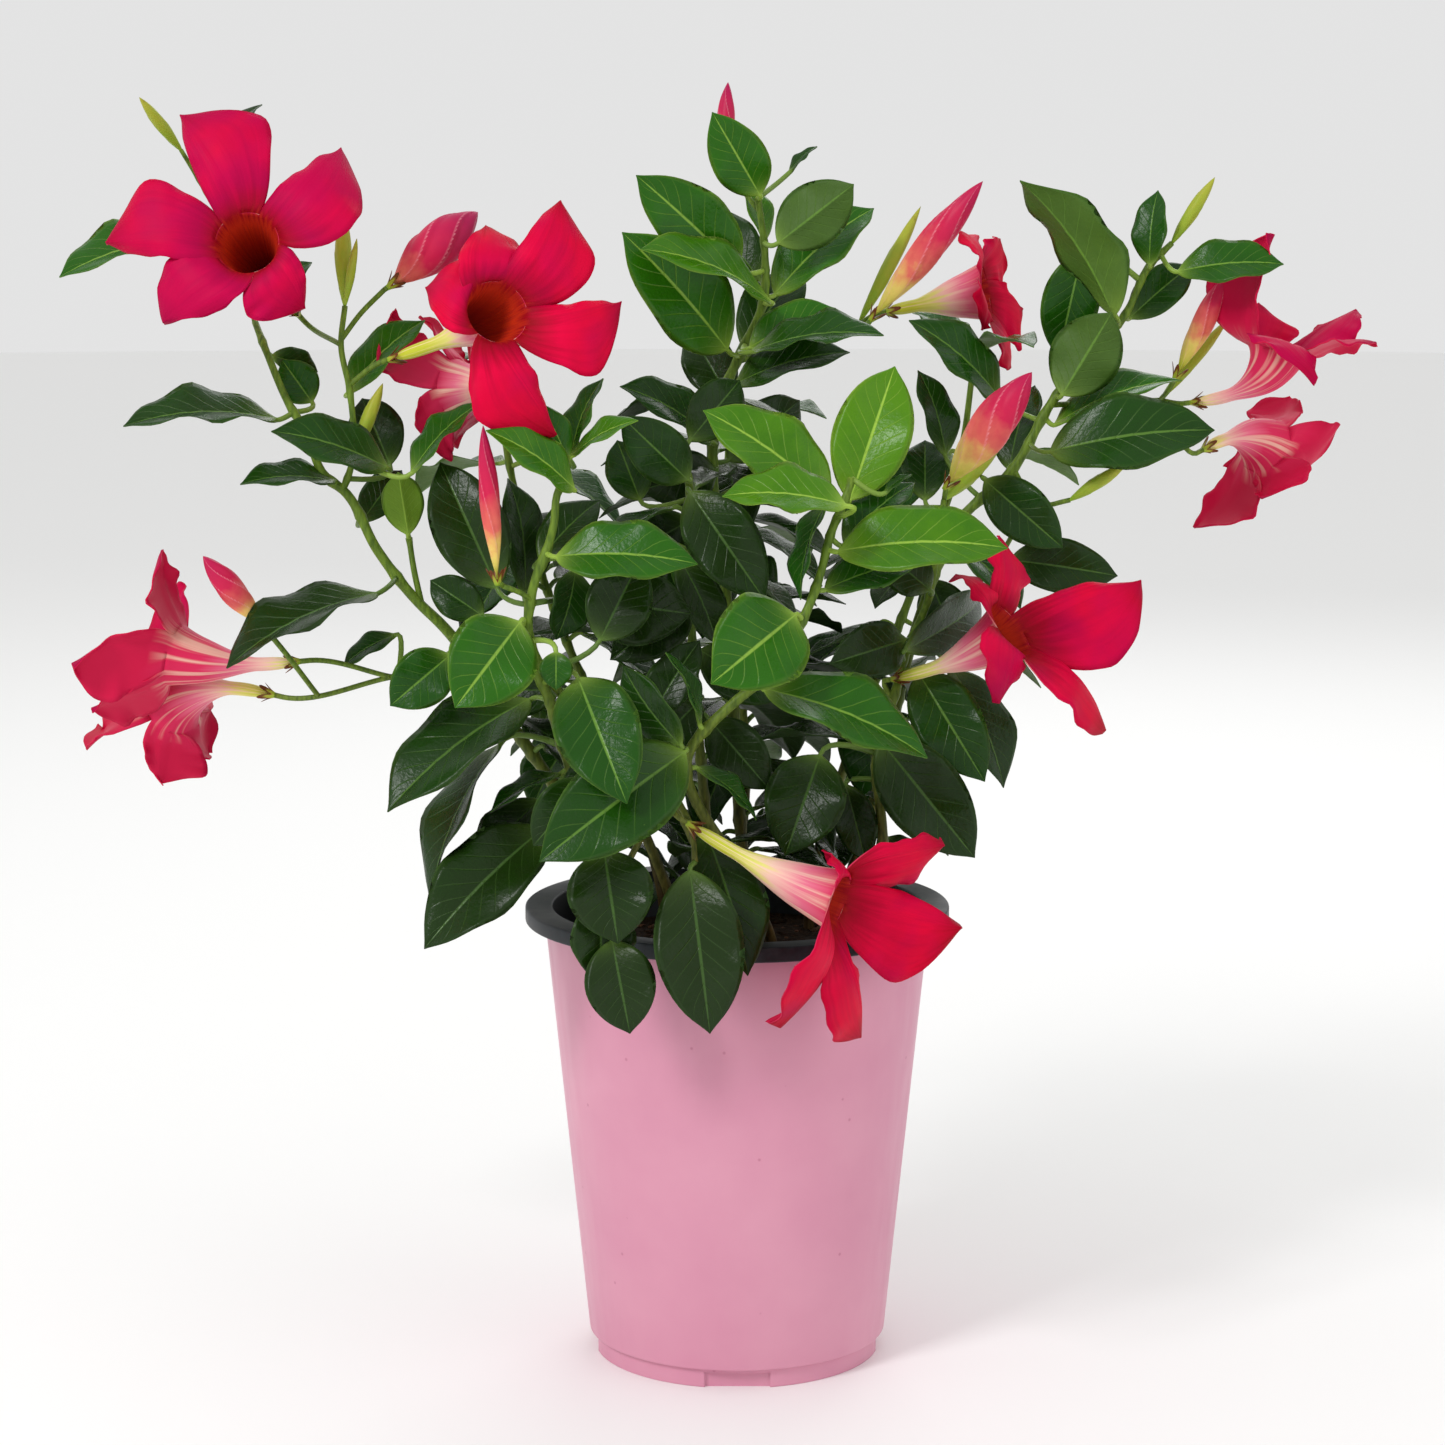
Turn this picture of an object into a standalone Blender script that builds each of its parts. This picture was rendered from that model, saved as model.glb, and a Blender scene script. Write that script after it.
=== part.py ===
"""A potted dipladenia, 0.51 m tall: two nested plastic pots, soil, leafy shoots, blooms and buds.

Metres, +Z up. The pots' axis is x = y = 0 and the foot stands on z = 0. The viewer of the photograph looks
along +Y, a little downwards. A place seen in the photograph is written as its pixel and its depth in
millimetres, where a negative depth is nearer the viewer than the pots' axis.
"""

import math

import bmesh
import bpy
import numpy as np
from mathutils import Vector
from mathutils.bvhtree import BVHTree

MM = 0.001
GAP = 0.0003

# The photograph's viewpoint, which turns a pixel and a depth into a place.
EYE = (-0.0059, -1.371, 0.466)
EYE_PITCH = math.radians(8.7)
PHOTO_FOCAL_PX = 3480.0
PHOTO_CENTRE_PX = 722.5
POT_AXIS_PX = 737.0
FAN_TURN = 0.065

# The outer pot.
POT_SIDES = 28
COVER_TOP_Z = 0.1811
COVER_TOP_RADIUS = 0.0775
COVER_FOOT_Z = 0.008
COVER_FOOT_RADIUS = 0.0600
COVER_WALL = 0.0016
COVER_FLOOR_Z = 0.0082
FOOT_RING_OUTER = 0.0577
FOOT_RING_INNER = 0.0528
FOOT_RECESS = 0.0060
NOTCH_WIDTH = 0.0260
NOTCH_HEIGHT = 0.0062
NOTCH_BACK = 0.0547

# The nursery pot that hangs in it by its lip.
LIP_Z = 0.1830
LIP_RADIUS = 0.0850
LIP_DROP = 0.0060
LIP_THICKNESS = 0.0016
GROW_WALL = 0.0012
GROW_FLOOR_Z = 0.0118

# Soil, and the holes that the stems stand in.
SOIL_TOP_Z = 0.1672
SOIL_MOUND = 0.0030
STEM_FOOT_Z = 0.1415
HOLE_DEPTH = 0.0262

# Leaves: rows along petiole (0 to 1) and blade (1 to 2), and three columns across.
LEAF_THICKNESS = 0.0007
LEAF_ROWS = (0.0, 1.0, 1.25, 1.6, 2.0)
SMALL_LEAF_ROWS = (0.0, 1.0, 1.42, 2.0)
LARGE_SHOWN = 5000
PETIOLE_HALF_WIDTH = 0.0010
PETIOLE_BEND = 0.3
PETIOLE_LENGTH = 0.009
LONGEST_PETIOLE = 0.026
TWIG_RADIUS = 0.0013
TWIG_ROWS = (0.0, 0.3, 0.64)
LEAF_ASPECT = 0.54
LEAF_FOLD = math.radians(20)
LEAF_ARCH = math.radians(34)
TOP, UNDER = 1, -1
CLEARANCE = 0.0006
SHOWN_FIRST = 1 / 90

# Blooms: a tube that widens to a goblet, and five lobes on its mouth.
PETAL_THICKNESS = 0.0008
LOBES = 5
LOBE_COLUMNS = 2
LOBE_ROWS = 3
TUBE_ROWS = (0.0, 0.38, 0.62, 1.0)
TUBE_RADII = (0.0, 0.0024, 0.0072, 0.0100)
LOBE_HALF_WIDTH = 0.40
LOBE_CORNER = 0.28

PETAL_COLOUR = (0.66, 0.004, 0.045, 1)
LEAF_COLOUR = (0.05, 0.17, 0.02, 1)
BUD_COLOUR = (0.62, 0.06, 0.08, 1)


def place(px, py, depth):
    """The place at a pixel of the photograph, at a depth in millimetres.

    The plant's fan is turned a little about the pots' axis, the left side towards the viewer, so the depth
    also grows by FAN_TURN millimetres for each pixel to the right of the axis.
    """
    depth = depth + FAN_TURN * (px - POT_AXIS_PX)
    right = (px - PHOTO_CENTRE_PX) / PHOTO_FOCAL_PX
    up = (PHOTO_CENTRE_PX - py) / PHOTO_FOCAL_PX
    forward = math.cos(EYE_PITCH) + up * math.sin(EYE_PITCH)
    rise = up * math.cos(EYE_PITCH) - math.sin(EYE_PITCH)
    reach = (depth * MM - EYE[1]) / forward
    return np.array((EYE[0] + reach * right, depth * MM, EYE[2] + reach * rise))


def mm(x, y, z):
    return np.array((x, y, z)) * MM


def unit(vector):
    return vector / np.linalg.norm(vector)


# Stems of each shoot: foot in the soil (x, y in mm), then (start radius, end radius, places).
SHOOTS = {
    "shoot_left": {
        "foot": (-44, -4),
        "stems": [
            (3.0, 1.5, [mm(-62, -10, 215), mm(-92, -16, 262), place(437, 620, -18), place(422, 606, -18),
                        place(378, 551, -16), place(343, 490, -12), place(326, 477, -12), place(305, 430, -10),
                        place(290, 406, -8), place(267, 353, -4), place(255, 322, 10)]),
            (1.5, 1.3, [place(422, 606, -18), place(414, 570, -16), place(409, 538, -12)]),
            (1.5, 1.3, [place(343, 490, -12), place(351, 467, -16), place(350, 392, -18), place(341, 345, -16),
                        place(345, 306, -14)]),
            (1.3, 1.0, [place(255, 322, 10), place(240, 262, 38), place(206, 192, 38), place(181, 150, 30)]),
            (1.2, 1.2, [place(341, 340, -16), place(362, 312, -10), place(384, 290, -8)]),
        ],
    },
    "shoot_left_front": {
        "foot": (-22, -34),
        "stems": [
            (2.6, 1.5, [mm(-34, -46, 215), mm(-58, -56, 262), place(528, 624, -62), place(536, 578, -64),
                        place(546, 553, -64), place(554, 523, -64), place(557, 495, -63), place(567, 473, -62),
                        place(566, 456, -61)]),
            (1.2, 1.2, [place(567, 473, -62), place(545, 428, -48), place(520, 402, -32)]),
            (1.2, 1.2, [place(534, 603, -63), place(521, 593, -67), place(503, 586, -70)]),
        ],
    },
    "shoot_front": {
        "foot": (14, -46),
        "stems": [
            (2.8, 1.5, [mm(2, -62, 205), place(690, 750, -76), place(736, 701, -80), place(759, 682, -80),
                        place(805, 615, -76), place(820, 575, -74), place(832, 530, -72), place(845, 500, -70),
                        place(852, 478, -69)]),
        ],
    },
    "shoot_top": {
        "foot": (4, 4),
        "stems": [
            (3.2, 1.5, [mm(0, 10, 230), mm(-4, 16, 300), place(722, 395, 20), place(745, 345, 20),
                        place(763, 303, 20), place(765, 257, 20), place(758, 198, 20)]),
            (1.5, 1.2, [place(740, 360, 20), place(800, 345, 34), place(858, 325, 40)]),
            (1.2, 1.1, [place(762, 215, 20), place(738, 186, 26), place(725, 175, 27)]),
        ],
    },
    "shoot_right": {
        "foot": (42, 8),
        "stems": [
            (3.0, 1.4, [mm(56, 12, 225), mm(74, 12, 300), place(960, 520, 12), place(1013, 469, 8),
                        place(1050, 405, 8), place(1075, 370, 8), place(1125, 315, 8), place(1150, 265, 10),
                        place(1172, 243, 10)]),
            (1.4, 1.2, [place(1050, 405, 8), place(1110, 402, 24), place(1160, 400, 30)]),
            (1.2, 1.2, [place(1013, 469, 8), place(1040, 505, -2), place(1070, 500, -8)]),
        ],
    },
    "shoot_right_low": {
        "foot": (44, -22),
        "stems": [
            (2.8, 1.4, [mm(56, -30, 205), place(880, 735, -34), place(893, 700, -34), place(905, 655, -28),
                        place(928, 600, -22), place(938, 540, -16), place(944, 500, -13)]),
        ],
    },
    "shoot_low_left": {
        "foot": (-42, -30),
        "stems": [
            (2.8, 1.3, [mm(-50, -38, 210), place(560, 740, -54), place(545, 690, -56), place(515, 648, -54),
                        place(470, 645, -44), place(430, 665, -34), place(392, 677, -24)]),
        ],
    },
    "shoot_skirt": {
        "foot": (-6, -58),
        "stems": [
            (2.6, 1.5, [mm(-10, -64, 205), place(672, 790, -72), place(664, 745, -72), place(655, 700, -68)]),
            (1.6, 1.2, [place(672, 790, -72), place(640, 840, -82), place(617, 890, -90), place(610, 925, -94)]),
            (1.6, 1.2, [place(672, 790, -72), place(692, 832, -84), place(695, 862, -88)]),
        ],
    },
    "shoot_mid": {
        "foot": (-8, -18),
        "stems": [
            (2.8, 1.5, [mm(-14, -24, 240), mm(-18, -28, 300), place(690, 492, -30), place(684, 450, -28)]),
        ],
    },
    "shoot_back_left": {
        "foot": (-30, 34),
        "stems": [(2.8, 1.4, [mm(-48, 48, 230), mm(-74, 60, 290), mm(-92, 65, 345), mm(-100, 67, 392)])],
    },
    "shoot_back_right": {
        "foot": (30, 36),
        "stems": [(2.8, 1.4, [mm(46, 50, 235), mm(72, 62, 300), mm(92, 68, 355), mm(98, 70, 398)])],
    },
    "shoot_back": {
        "foot": (0, 52),
        "stems": [(2.6, 1.4, [mm(4, 62, 225), mm(0, 69, 275), mm(-6, 74, 325), mm(-2, 77, 372)])],
    },
}

# Leaves: base pixel and depth, tip pixel and depth, width in pixels, and the side that is seen.
LEAVES = {
    "shoot_left": [
        (205, 240, 34, 59, 277, 12, 38, TOP), (277, 420, -12, 123, 426, -26, 35, TOP),
        (387, 468, -26, 271, 431, -32, 50, TOP), (312, 402, 2, 282, 360, 10, 45, TOP),
        (350, 392, -4, 425, 320, 6, 38, TOP), (390, 465, 4, 362, 398, 16, 60, TOP),
        (335, 482, -14, 240, 484, -26, 26, TOP), (408, 534, -14, 398, 472, -24, 45, UNDER),
        (362, 522, 4, 402, 470, 20, 40, TOP), (412, 473, -8, 482, 402, -20, 28, TOP),
        (377, 594, -30, 226, 668, -58, 45, TOP), (205, 168, 40, 262, 104, 52, 22, TOP),
        (208, 188, 44, 262, 132, 60, 24, TOP), (262, 300, 24, 312, 262, 34, 26, TOP),
        (272, 356, 6, 318, 372, 18, 30, TOP),
    ],
    "shoot_left_front": [
        (497, 588, -44, 440, 462, -26, 80, TOP), (524, 594, -40, 508, 478, -20, 46, TOP),
        (574, 490, -66, 486, 430, -78, 42, TOP), (570, 465, -54, 500, 408, -34, 34, TOP),
        (567, 460, -60, 536, 402, -64, 30, TOP), (572, 455, -56, 603, 378, -44, 36, TOP),
        (574, 455, -62, 638, 420, -70, 20, TOP), (556, 557, -70, 698, 564, -88, 64, TOP),
        (575, 570, -50, 556, 640, -46, 55, TOP), (590, 600, -44, 692, 614, -54, 85, TOP),
        (556, 652, -74, 556, 690, -80, 36, TOP), (540, 560, -46, 600, 500, -30, 46, TOP),
    ],
    "shoot_front": [
        (830, 500, -66, 703, 410, -56, 72, TOP), (846, 506, -74, 722, 496, -88, 50, TOP),
        (850, 500, -62, 895, 366, -48, 84, TOP), (845, 545, -68, 915, 482, -56, 42, TOP),
        (838, 552, -76, 1008, 548, -92, 72, TOP), (828, 500, -58, 800, 600, -46, 50, TOP),
        (825, 590, -72, 918, 562, -66, 45, TOP), (795, 615, -82, 711, 684, -104, 106, TOP),
        (765, 690, -84, 928, 758, -98, 66, TOP), (826, 740, -70, 738, 720, -62, 30, TOP),
        (697, 768, -74, 757, 820, -70, 18, TOP), (700, 725, -80, 666, 652, -78, 14, TOP),
        (885, 493, -74, 912, 474, -72, 9, TOP),
    ],
    "shoot_top": [
        (760, 195, 14, 712, 112, 6, 60, TOP), (738, 270, 12, 636, 175, 2, 76, TOP),
        (727, 350, 10, 622, 232, -6, 86, TOP), (770, 302, 6, 640, 249, -10, 38, TOP),
        (778, 243, 8, 854, 184, 0, 68, UNDER), (775, 295, 22, 874, 208, 34, 58, TOP),
        (790, 172, 34, 817, 146, 36, 14, TOP), (765, 240, 28, 735, 172, 40, 24, TOP),
        (750, 348, 4, 836, 308, -8, 44, TOP), (752, 352, -6, 884, 335, -24, 32, TOP),
        (735, 385, 6, 850, 352, -6, 40, TOP), (700, 342, 10, 628, 366, 0, 38, TOP),
        (712, 442, 10, 620, 386, -8, 40, TOP),
        (730, 400, 30, 690, 330, 50, 56, TOP), (745, 350, 36, 800, 270, 60, 60, TOP),
        (716, 470, 16, 640, 490, 10, 60, TOP), (728, 460, 20, 800, 400, 40, 60, TOP),
        (760, 280, 36, 700, 210, 62, 56, TOP),
    ],
    "shoot_right": [
        (1115, 315, -2, 1020, 180, -14, 62, UNDER), (1082, 252, -6, 1058, 358, -16, 62, TOP),
        (1062, 395, 0, 1112, 312, -8, 76, UNDER), (1050, 452, -10, 1215, 430, -26, 78, TOP),
        (1055, 425, 8, 1182, 380, 0, 28, TOP), (1150, 265, 4, 1158, 190, 10, 36, TOP),
        (1130, 318, 14, 1192, 265, 22, 46, TOP), (1178, 272, 2, 1284, 264, -10, 44, TOP),
        (1000, 400, 26, 909, 320, 20, 46, TOP), (945, 455, 26, 918, 370, 36, 36, TOP),
        (1010, 470, 24, 1035, 385, 44, 46, TOP), (985, 480, -4, 1063, 548, -18, 60, TOP),
        (1010, 560, 0, 1118, 576, -10, 58, TOP), (925, 500, 30, 925, 440, 50, 50, TOP),
        (930, 580, 24, 960, 650, 20, 56, TOP),
    ],
    "shoot_right_low": [
        (905, 640, -38, 829, 664, -50, 60, TOP), (820, 755, -48, 785, 856, -60, 86, TOP),
        (846, 785, -34, 866, 862, -38, 46, TOP), (887, 838, -20, 925, 862, -24, 20, TOP),
        (880, 740, -44, 975, 858, -58, 86, TOP), (918, 672, -42, 985, 782, -52, 74, TOP),
        (950, 668, -24, 1004, 788, -30, 50, TOP), (905, 650, -20, 980, 600, -6, 56, TOP),
        (930, 590, -30, 870, 540, -36, 50, TOP),
    ],
    "shoot_low_left": [
        (520, 622, -70, 455, 708, -84, 96, TOP), (450, 655, -50, 390, 706, -52, 62, TOP),
        (483, 616, -36, 430, 580, -26, 46, TOP), (578, 678, -78, 627, 804, -98, 92, TOP),
        (395, 635, -20, 343, 666, -18, 22, TOP), (530, 700, -44, 387, 812, -62, 72, TOP),
        (500, 745, -34, 430, 904, -44, 34, TOP), (560, 774, -50, 490, 812, -52, 18, TOP),
        (545, 828, -46, 424, 949, -64, 86, TOP), (540, 800, -30, 470, 880, -30, 50, TOP),
        (600, 640, -52, 640, 560, -40, 70, TOP), (560, 690, -30, 470, 690, -10, 60, TOP),
    ],
    "shoot_skirt": [
        (685, 752, -86, 539, 862, -106, 102, TOP), (681, 745, -82, 623, 666, -88, 60, TOP),
        (604, 850, -88, 618, 944, -98, 92, TOP), (590, 780, -74, 533, 846, -74, 60, TOP),
        (600, 900, -92, 598, 982, -102, 72, TOP), (612, 940, -96, 630, 1034, -100, 76, TOP),
        (690, 870, -92, 710, 1034, -104, 96, TOP), (705, 832, -84, 748, 976, -98, 76, TOP),
        (640, 760, -60, 560, 790, -56, 60, TOP), (650, 720, -62, 700, 640, -56, 50, TOP),
    ],
    "shoot_mid": [
        (688, 480, -36, 621, 416, -40, 60, TOP), (640, 500, -20, 617, 440, -10, 50, TOP),
        (690, 492, -40, 766, 602, -58, 76, TOP), (680, 560, -40, 718, 646, -50, 46, TOP),
        (690, 600, -34, 610, 660, -40, 66, TOP), (700, 650, -36, 780, 700, -44, 60, TOP),
        (690, 520, -22, 620, 560, -16, 60, TOP), (690, 440, -24, 740, 380, -10, 56, TOP),
        (700, 700, -34, 640, 760, -44, 60, TOP), (710, 720, -40, 770, 790, -50, 60, TOP),
    ],
}

# Leaf pairs on the side that the photograph doesn't show: share of the stem, bearing, length and droop.
BACK_PAIRS = {
    "shoot_back_left": [(0.28, 150, 60, 0.7), (0.42, 75, 62, 0.4), (0.56, 165, 64, 0.55), (0.70, 60, 60, 0.2),
                        (0.84, 140, 56, 0.3), (1.0, 70, 44, -0.3)],
    "shoot_back_right": [(0.28, 20, 60, 0.6), (0.42, 105, 62, 0.45), (0.56, 25, 64, 0.5), (0.70, 120, 60, 0.25),
                         (0.84, 35, 56, 0.3), (1.0, 110, 44, -0.3)],
    "shoot_back": [(0.24, 15, 56, 0.8), (0.40, 80, 54, 0.6), (0.58, 160, 60, 0.4), (0.78, 60, 54, 0.3),
                   (1.0, 140, 44, -0.2)],
}

# Blooms: base and mouth pixel and depth, the five tips in order round the mouth, and the branch they hang on.
BLOOMS = {
    "bloom_1": ("shoot_left", (341, 345, -16), (296, 312, 16), (247, 243, -34),
                [(179, 112, -16), (341, 143, -18), (306, 308, -38), (161, 320, -36), (104, 239, -24)]),
    "bloom_2": ("shoot_left", (350, 386, -18), (394, 358, -22), (497, 312, -60),
                [(488, 222, -42), (563, 199, -46), (623, 299, -54), (560, 432, -70), (424, 284, -48)]),
    "bloom_3": ("shoot_left_front", (520, 402, -32), (502, 391, -22), (458, 390, 8),
                [(388, 318, 8), (415, 425, 2), (450, 440, 22), (470, 380, 46), (444, 345, 34)]),
    "bloom_4": ("shoot_low_left", (392, 677, -24), (294, 662, -18), (176, 655, -8),
                [(155, 552, -12), (70, 660, -26), (90, 702, -12), (120, 690, 20), (138, 640, 24)]),
    "bloom_5": ("shoot_low_left", (392, 677, -24), (270, 694, -6), (172, 708, 26),
                [(159, 780, 22), (203, 753, 44), (180, 690, 74), (125, 680, 70), (110, 735, 50)]),
    "bloom_6": ("shoot_right_low", (893, 700, -34), (897, 678, -36), (1010, 630, -66),
                [(1005, 536, -52), (1141, 576, -58), (1112, 724, -70), (1004, 704, -78), (960, 570, -50)]),
    "bloom_7": ("shoot_skirt", (672, 790, -72), (692, 826, -90), (838, 900, -108),
                [(828, 848, -92), (948, 852, -104), (964, 930, -118), (870, 1036, -124), (790, 1032, -114)]),
    "bloom_8": ("shoot_top", (858, 325, 40), (888, 311, 38), (985, 292, 52),
                [(962, 228, 52), (1004, 240, 68), (1026, 308, 74), (1014, 360, 62), (985, 330, 42)]),
    "bloom_9": ("shoot_right", (1160, 400, 30), (1196, 402, 20), (1277, 352, 2),
                [(1281, 236, -4), (1352, 304, 10), (1374, 336, -16), (1320, 372, -34), (1262, 300, 30)]),
    "bloom_10": ("shoot_right", (1160, 400, 30), (1206, 448, 34), (1266, 446, 56),
                 [(1198, 532, 54), (1264, 500, 44), (1300, 480, 62), (1292, 402, 74), (1238, 470, 86)]),
}

# Coloured buds: branch, base and tip pixel and depth, width in pixels.
BUDS = {
    "bud_1": ("shoot_left", (384, 290, -8), (392, 284, -7), (478, 212, 8), 45),
    "bud_2": ("shoot_low_left", (310, 688, -20), (262, 625, -34), (203, 556, -40), 30),
    "bud_3": ("shoot_left_front", (503, 586, -70), (497, 578, -71), (483, 425, -74), 20),
    "bud_4": ("shoot_top", (725, 175, 27), (722, 170, 28), (728, 82, 34), 18),
    "bud_5": ("shoot_top", (858, 325, 40), (874, 316, 26), (983, 181, 8), 30),
    "bud_6": ("shoot_right_low", (944, 500, -13), (948, 484, -15), (1032, 372, -28), 42),
    "bud_7": ("shoot_right", (1160, 400, 30), (1177, 374, 20), (1230, 270, 14), 22),
}

# Small green buds, which stay part of their shoot.
GREEN_BUDS = {
    "shoot_left": [((345, 308, -14), (342, 208, -8), 17), ((345, 308, -14), (357, 238, -22), 9),
                   ((390, 455, -10), (383, 383, -16), 14), ((181, 152, 30), (139, 97, 20), 12)],
    "shoot_top": [((858, 325, 40), (921, 206, 56), 14)],
    "shoot_right": [((1172, 243, 10), (1215, 177, 4), 13), ((1160, 400, 30), (1229, 318, 40), 12),
                    ((1070, 500, -8), (1128, 463, -16), 13)],
    "shoot_right_low": [((944, 500, -13), (1003, 438, 14), 20)],
}


# Geometry of the growing pieces.


def bezier(points, share):
    """Quadratic curve through two ends, drawn to a middle point: (1-t)^2 a + 2(1-t)t b + t^2 c."""
    first, middle, last = points
    share = np.asarray(share)[..., None]
    return (1 - share) ** 2 * first + 2 * (1 - share) * share * middle + share**2 * last


def blade_width(share):
    """Half width of the blade as a share of its widest, t^0.7 (1-t)^0.85 / 0.344."""
    share = np.clip(share, 0, 1)
    return share**0.7 * (1 - share) ** 0.85 / 0.344


def leaf_surface(leaf, across, along):
    """Places on a leaf: a ribbon petiole for along 0 to 1, then a folded blade on an arc for 1 to 2."""
    root, base, tip, normal, half_width = leaf
    chord = tip - base
    length = np.linalg.norm(chord)
    forward = chord / length
    up = unit(normal - normal.dot(forward) * forward)
    side = np.cross(forward, up)
    share = np.clip(along - 1, 0, 1)
    radius = length / (2 * math.sin(LEAF_ARCH / 2))
    turn = LEAF_ARCH * (share - 0.5)
    run = radius * (np.sin(turn) + math.sin(LEAF_ARCH / 2))
    lift = radius * (np.cos(turn) - math.cos(LEAF_ARCH / 2))
    width = np.maximum(half_width * blade_width(share), PETIOLE_HALF_WIDTH * (share < 1))
    fold = np.where(along >= 1, LEAF_FOLD, 0)
    blade = base + run[..., None] * forward + lift[..., None] * up
    reach = np.linalg.norm(base - root)
    bend = base - forward * PETIOLE_BEND * reach
    if reach < LONGEST_PETIOLE:
        bend = (root + base) / 2
    stalk = bezier((root, bend, base), np.clip(along, 0, 1))
    spine = np.where((along >= 1)[..., None], blade, stalk)
    sideways = across * width * np.cos(fold)
    raised = np.abs(across) * width * np.sin(fold)
    return spine + sideways[..., None] * side + raised[..., None] * up


def facing_normal(base, tip, width, side_seen):
    """Normal of a blade that shows the given width to the viewer, turned to the sky where both would do."""
    forward = unit(tip - base)
    to_eye = unit(np.array(EYE) - (base + tip) / 2)
    shown = unit(to_eye - to_eye.dot(forward) * forward)
    length = np.linalg.norm(tip - base)
    full_width = max(width, LEAF_ASPECT * length)
    turn = math.acos(min(1.0, width / full_width))
    beside = np.cross(forward, shown)
    choices = [side_seen * (math.cos(turn) * shown + sign * math.sin(turn) * beside) for sign in (1, -1)]
    return max(choices, key=lambda normal: normal[2]), full_width / 2


def bloom_frame(base, mouth, tips):
    """The mouth's facing, and its two axes in the mouth's plane, from the five tips."""
    facing = sum(np.cross(tips[i] - mouth, tips[(i + 1) % LOBES] - mouth) for i in range(LOBES))
    facing = unit(facing)
    if facing.dot(mouth - base) < 0:
        facing = -facing
    first = unit(np.cross(facing, (0.3, 0.1, 1.0)))
    second = np.cross(facing, first)
    bearings = [math.atan2((tip - mouth).dot(second), (tip - mouth).dot(first)) for tip in tips]
    order = np.argsort(bearings)
    offsets = [bearings[index] - 2 * math.pi * rank / LOBES for rank, index in enumerate(order)]
    roll = float(np.mean(offsets))
    return facing, first, second, roll, [tips[index] for index in order]


def tube_surface(bloom, bearing, share):
    """Places on the tube: rings round a bent line from base to mouth, which turn to face as the mouth does."""
    base, mouth, (facing, first, second, _, _) = bloom
    bend = mouth - facing * 0.45 * np.linalg.norm(mouth - base)
    spine = bezier((base, bend, mouth), share)
    heading = 2 * (1 - share)[..., None] * (bend - base) + 2 * share[..., None] * (mouth - bend)
    heading /= np.linalg.norm(heading, axis=-1, keepdims=True)
    axis_a = first - (heading @ first)[..., None] * heading
    axis_a /= np.linalg.norm(axis_a, axis=-1, keepdims=True)
    axis_b = np.cross(heading, axis_a)
    radius = np.interp(share, TUBE_ROWS, TUBE_RADII)
    ring = np.cos(bearing)[..., None] * axis_a + np.sin(bearing)[..., None] * axis_b
    return spine + radius[..., None] * ring


def lobe_surface(bloom, index, across, along):
    """Places on a lobe: from the mouth's ring, a bent line to the tip with the lobe's width on both sides."""
    base, mouth, (facing, first, second, roll, tips) = bloom
    middle = roll + 2 * math.pi * index / LOBES
    bearing = middle + across * math.pi / LOBES
    one = np.ones_like(across)
    ring = tube_surface(bloom, bearing, one)
    start = tube_surface(bloom, np.array([middle]), np.array([1.0]))[0]
    tip = tips[index]
    length = np.linalg.norm(tip - start)
    outward = unit(math.cos(middle) * first + math.sin(middle) * second)
    drawn = start + unit(outward * 0.8 + facing * 0.6) * length * 0.42
    spine = bezier((start, drawn, tip), along)
    sideways = unit(np.cross(facing, tip - mouth))
    at_mouth = TUBE_RADII[-1] * math.sin(math.pi / LOBES)
    width = np.interp(along, (0, 0.33, 0.66, 1), (at_mouth, 0.72 * LOBE_HALF_WIDTH * length,
                                                  LOBE_HALF_WIDTH * length, 0.10 * length))
    corner = np.interp(along, (0, 0.66, 1), (0, 0.04, LOBE_CORNER)) * 0.30 * length
    flat = spine + (across * width)[..., None] * sideways + (corner * across**2)[..., None] * sideways
    meets = ring - (start + (across * at_mouth)[..., None] * sideways)
    cupped = (0.07 * length * across**2 * along)[..., None] * facing
    return flat + (1 - along)[..., None] ** 2 * meets - cupped


def bud_surface(base, tip, width, bearing, share):
    """Places on a pointed spindle: radius t (1-t)^0.9 / 0.269 of half its width."""
    heading = unit(tip - base)
    axis_a = unit(np.cross(heading, (0.2, 1.0, 0.1)))
    axis_b = np.cross(heading, axis_a)
    radius = width / 2 * share * (1 - share) ** 0.9 / 0.269
    ring = np.cos(bearing)[..., None] * axis_a + np.sin(bearing)[..., None] * axis_b
    return base + share[..., None] * (tip - base) + radius[..., None] * ring


# Blender objects.


def new_collection(name, hidden=False):
    collection = bpy.data.collections.new(name)
    collection.hide_render = hidden
    bpy.context.scene.collection.children.link(collection)
    return collection


def material(name, colour, roughness):
    made = bpy.data.materials.new(name)
    made.use_nodes = True
    shader = made.node_tree.nodes["Principled BSDF"]
    shader.inputs["Base Color"].default_value = colour
    shader.inputs["Roughness"].default_value = roughness
    shader.inputs["Metallic"].default_value = 0.0
    return made


def add_object(name, mesh, collection, surface=None):
    made = bpy.data.objects.new(name, mesh)
    if surface:
        mesh.materials.append(surface)
    collection.objects.link(made)
    return made


def evaluated_mesh(made, weld=1e-6):
    """The object's mesh with its modifiers applied and its seams welded."""
    graph = bpy.context.evaluated_depsgraph_get()
    mesh = bpy.data.meshes.new_from_object(made.evaluated_get(graph))
    shape = bmesh.new()
    shape.from_mesh(mesh)
    if weld:
        bmesh.ops.remove_doubles(shape, verts=shape.verts, dist=weld)
    bmesh.ops.triangulate(shape, faces=shape.faces)
    bmesh.ops.recalc_face_normals(shape, faces=shape.faces)
    if shape.calc_volume(signed=True) < 0:
        bmesh.ops.reverse_faces(shape, faces=shape.faces)
    shape.to_mesh(mesh)
    shape.free()
    return mesh


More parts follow.
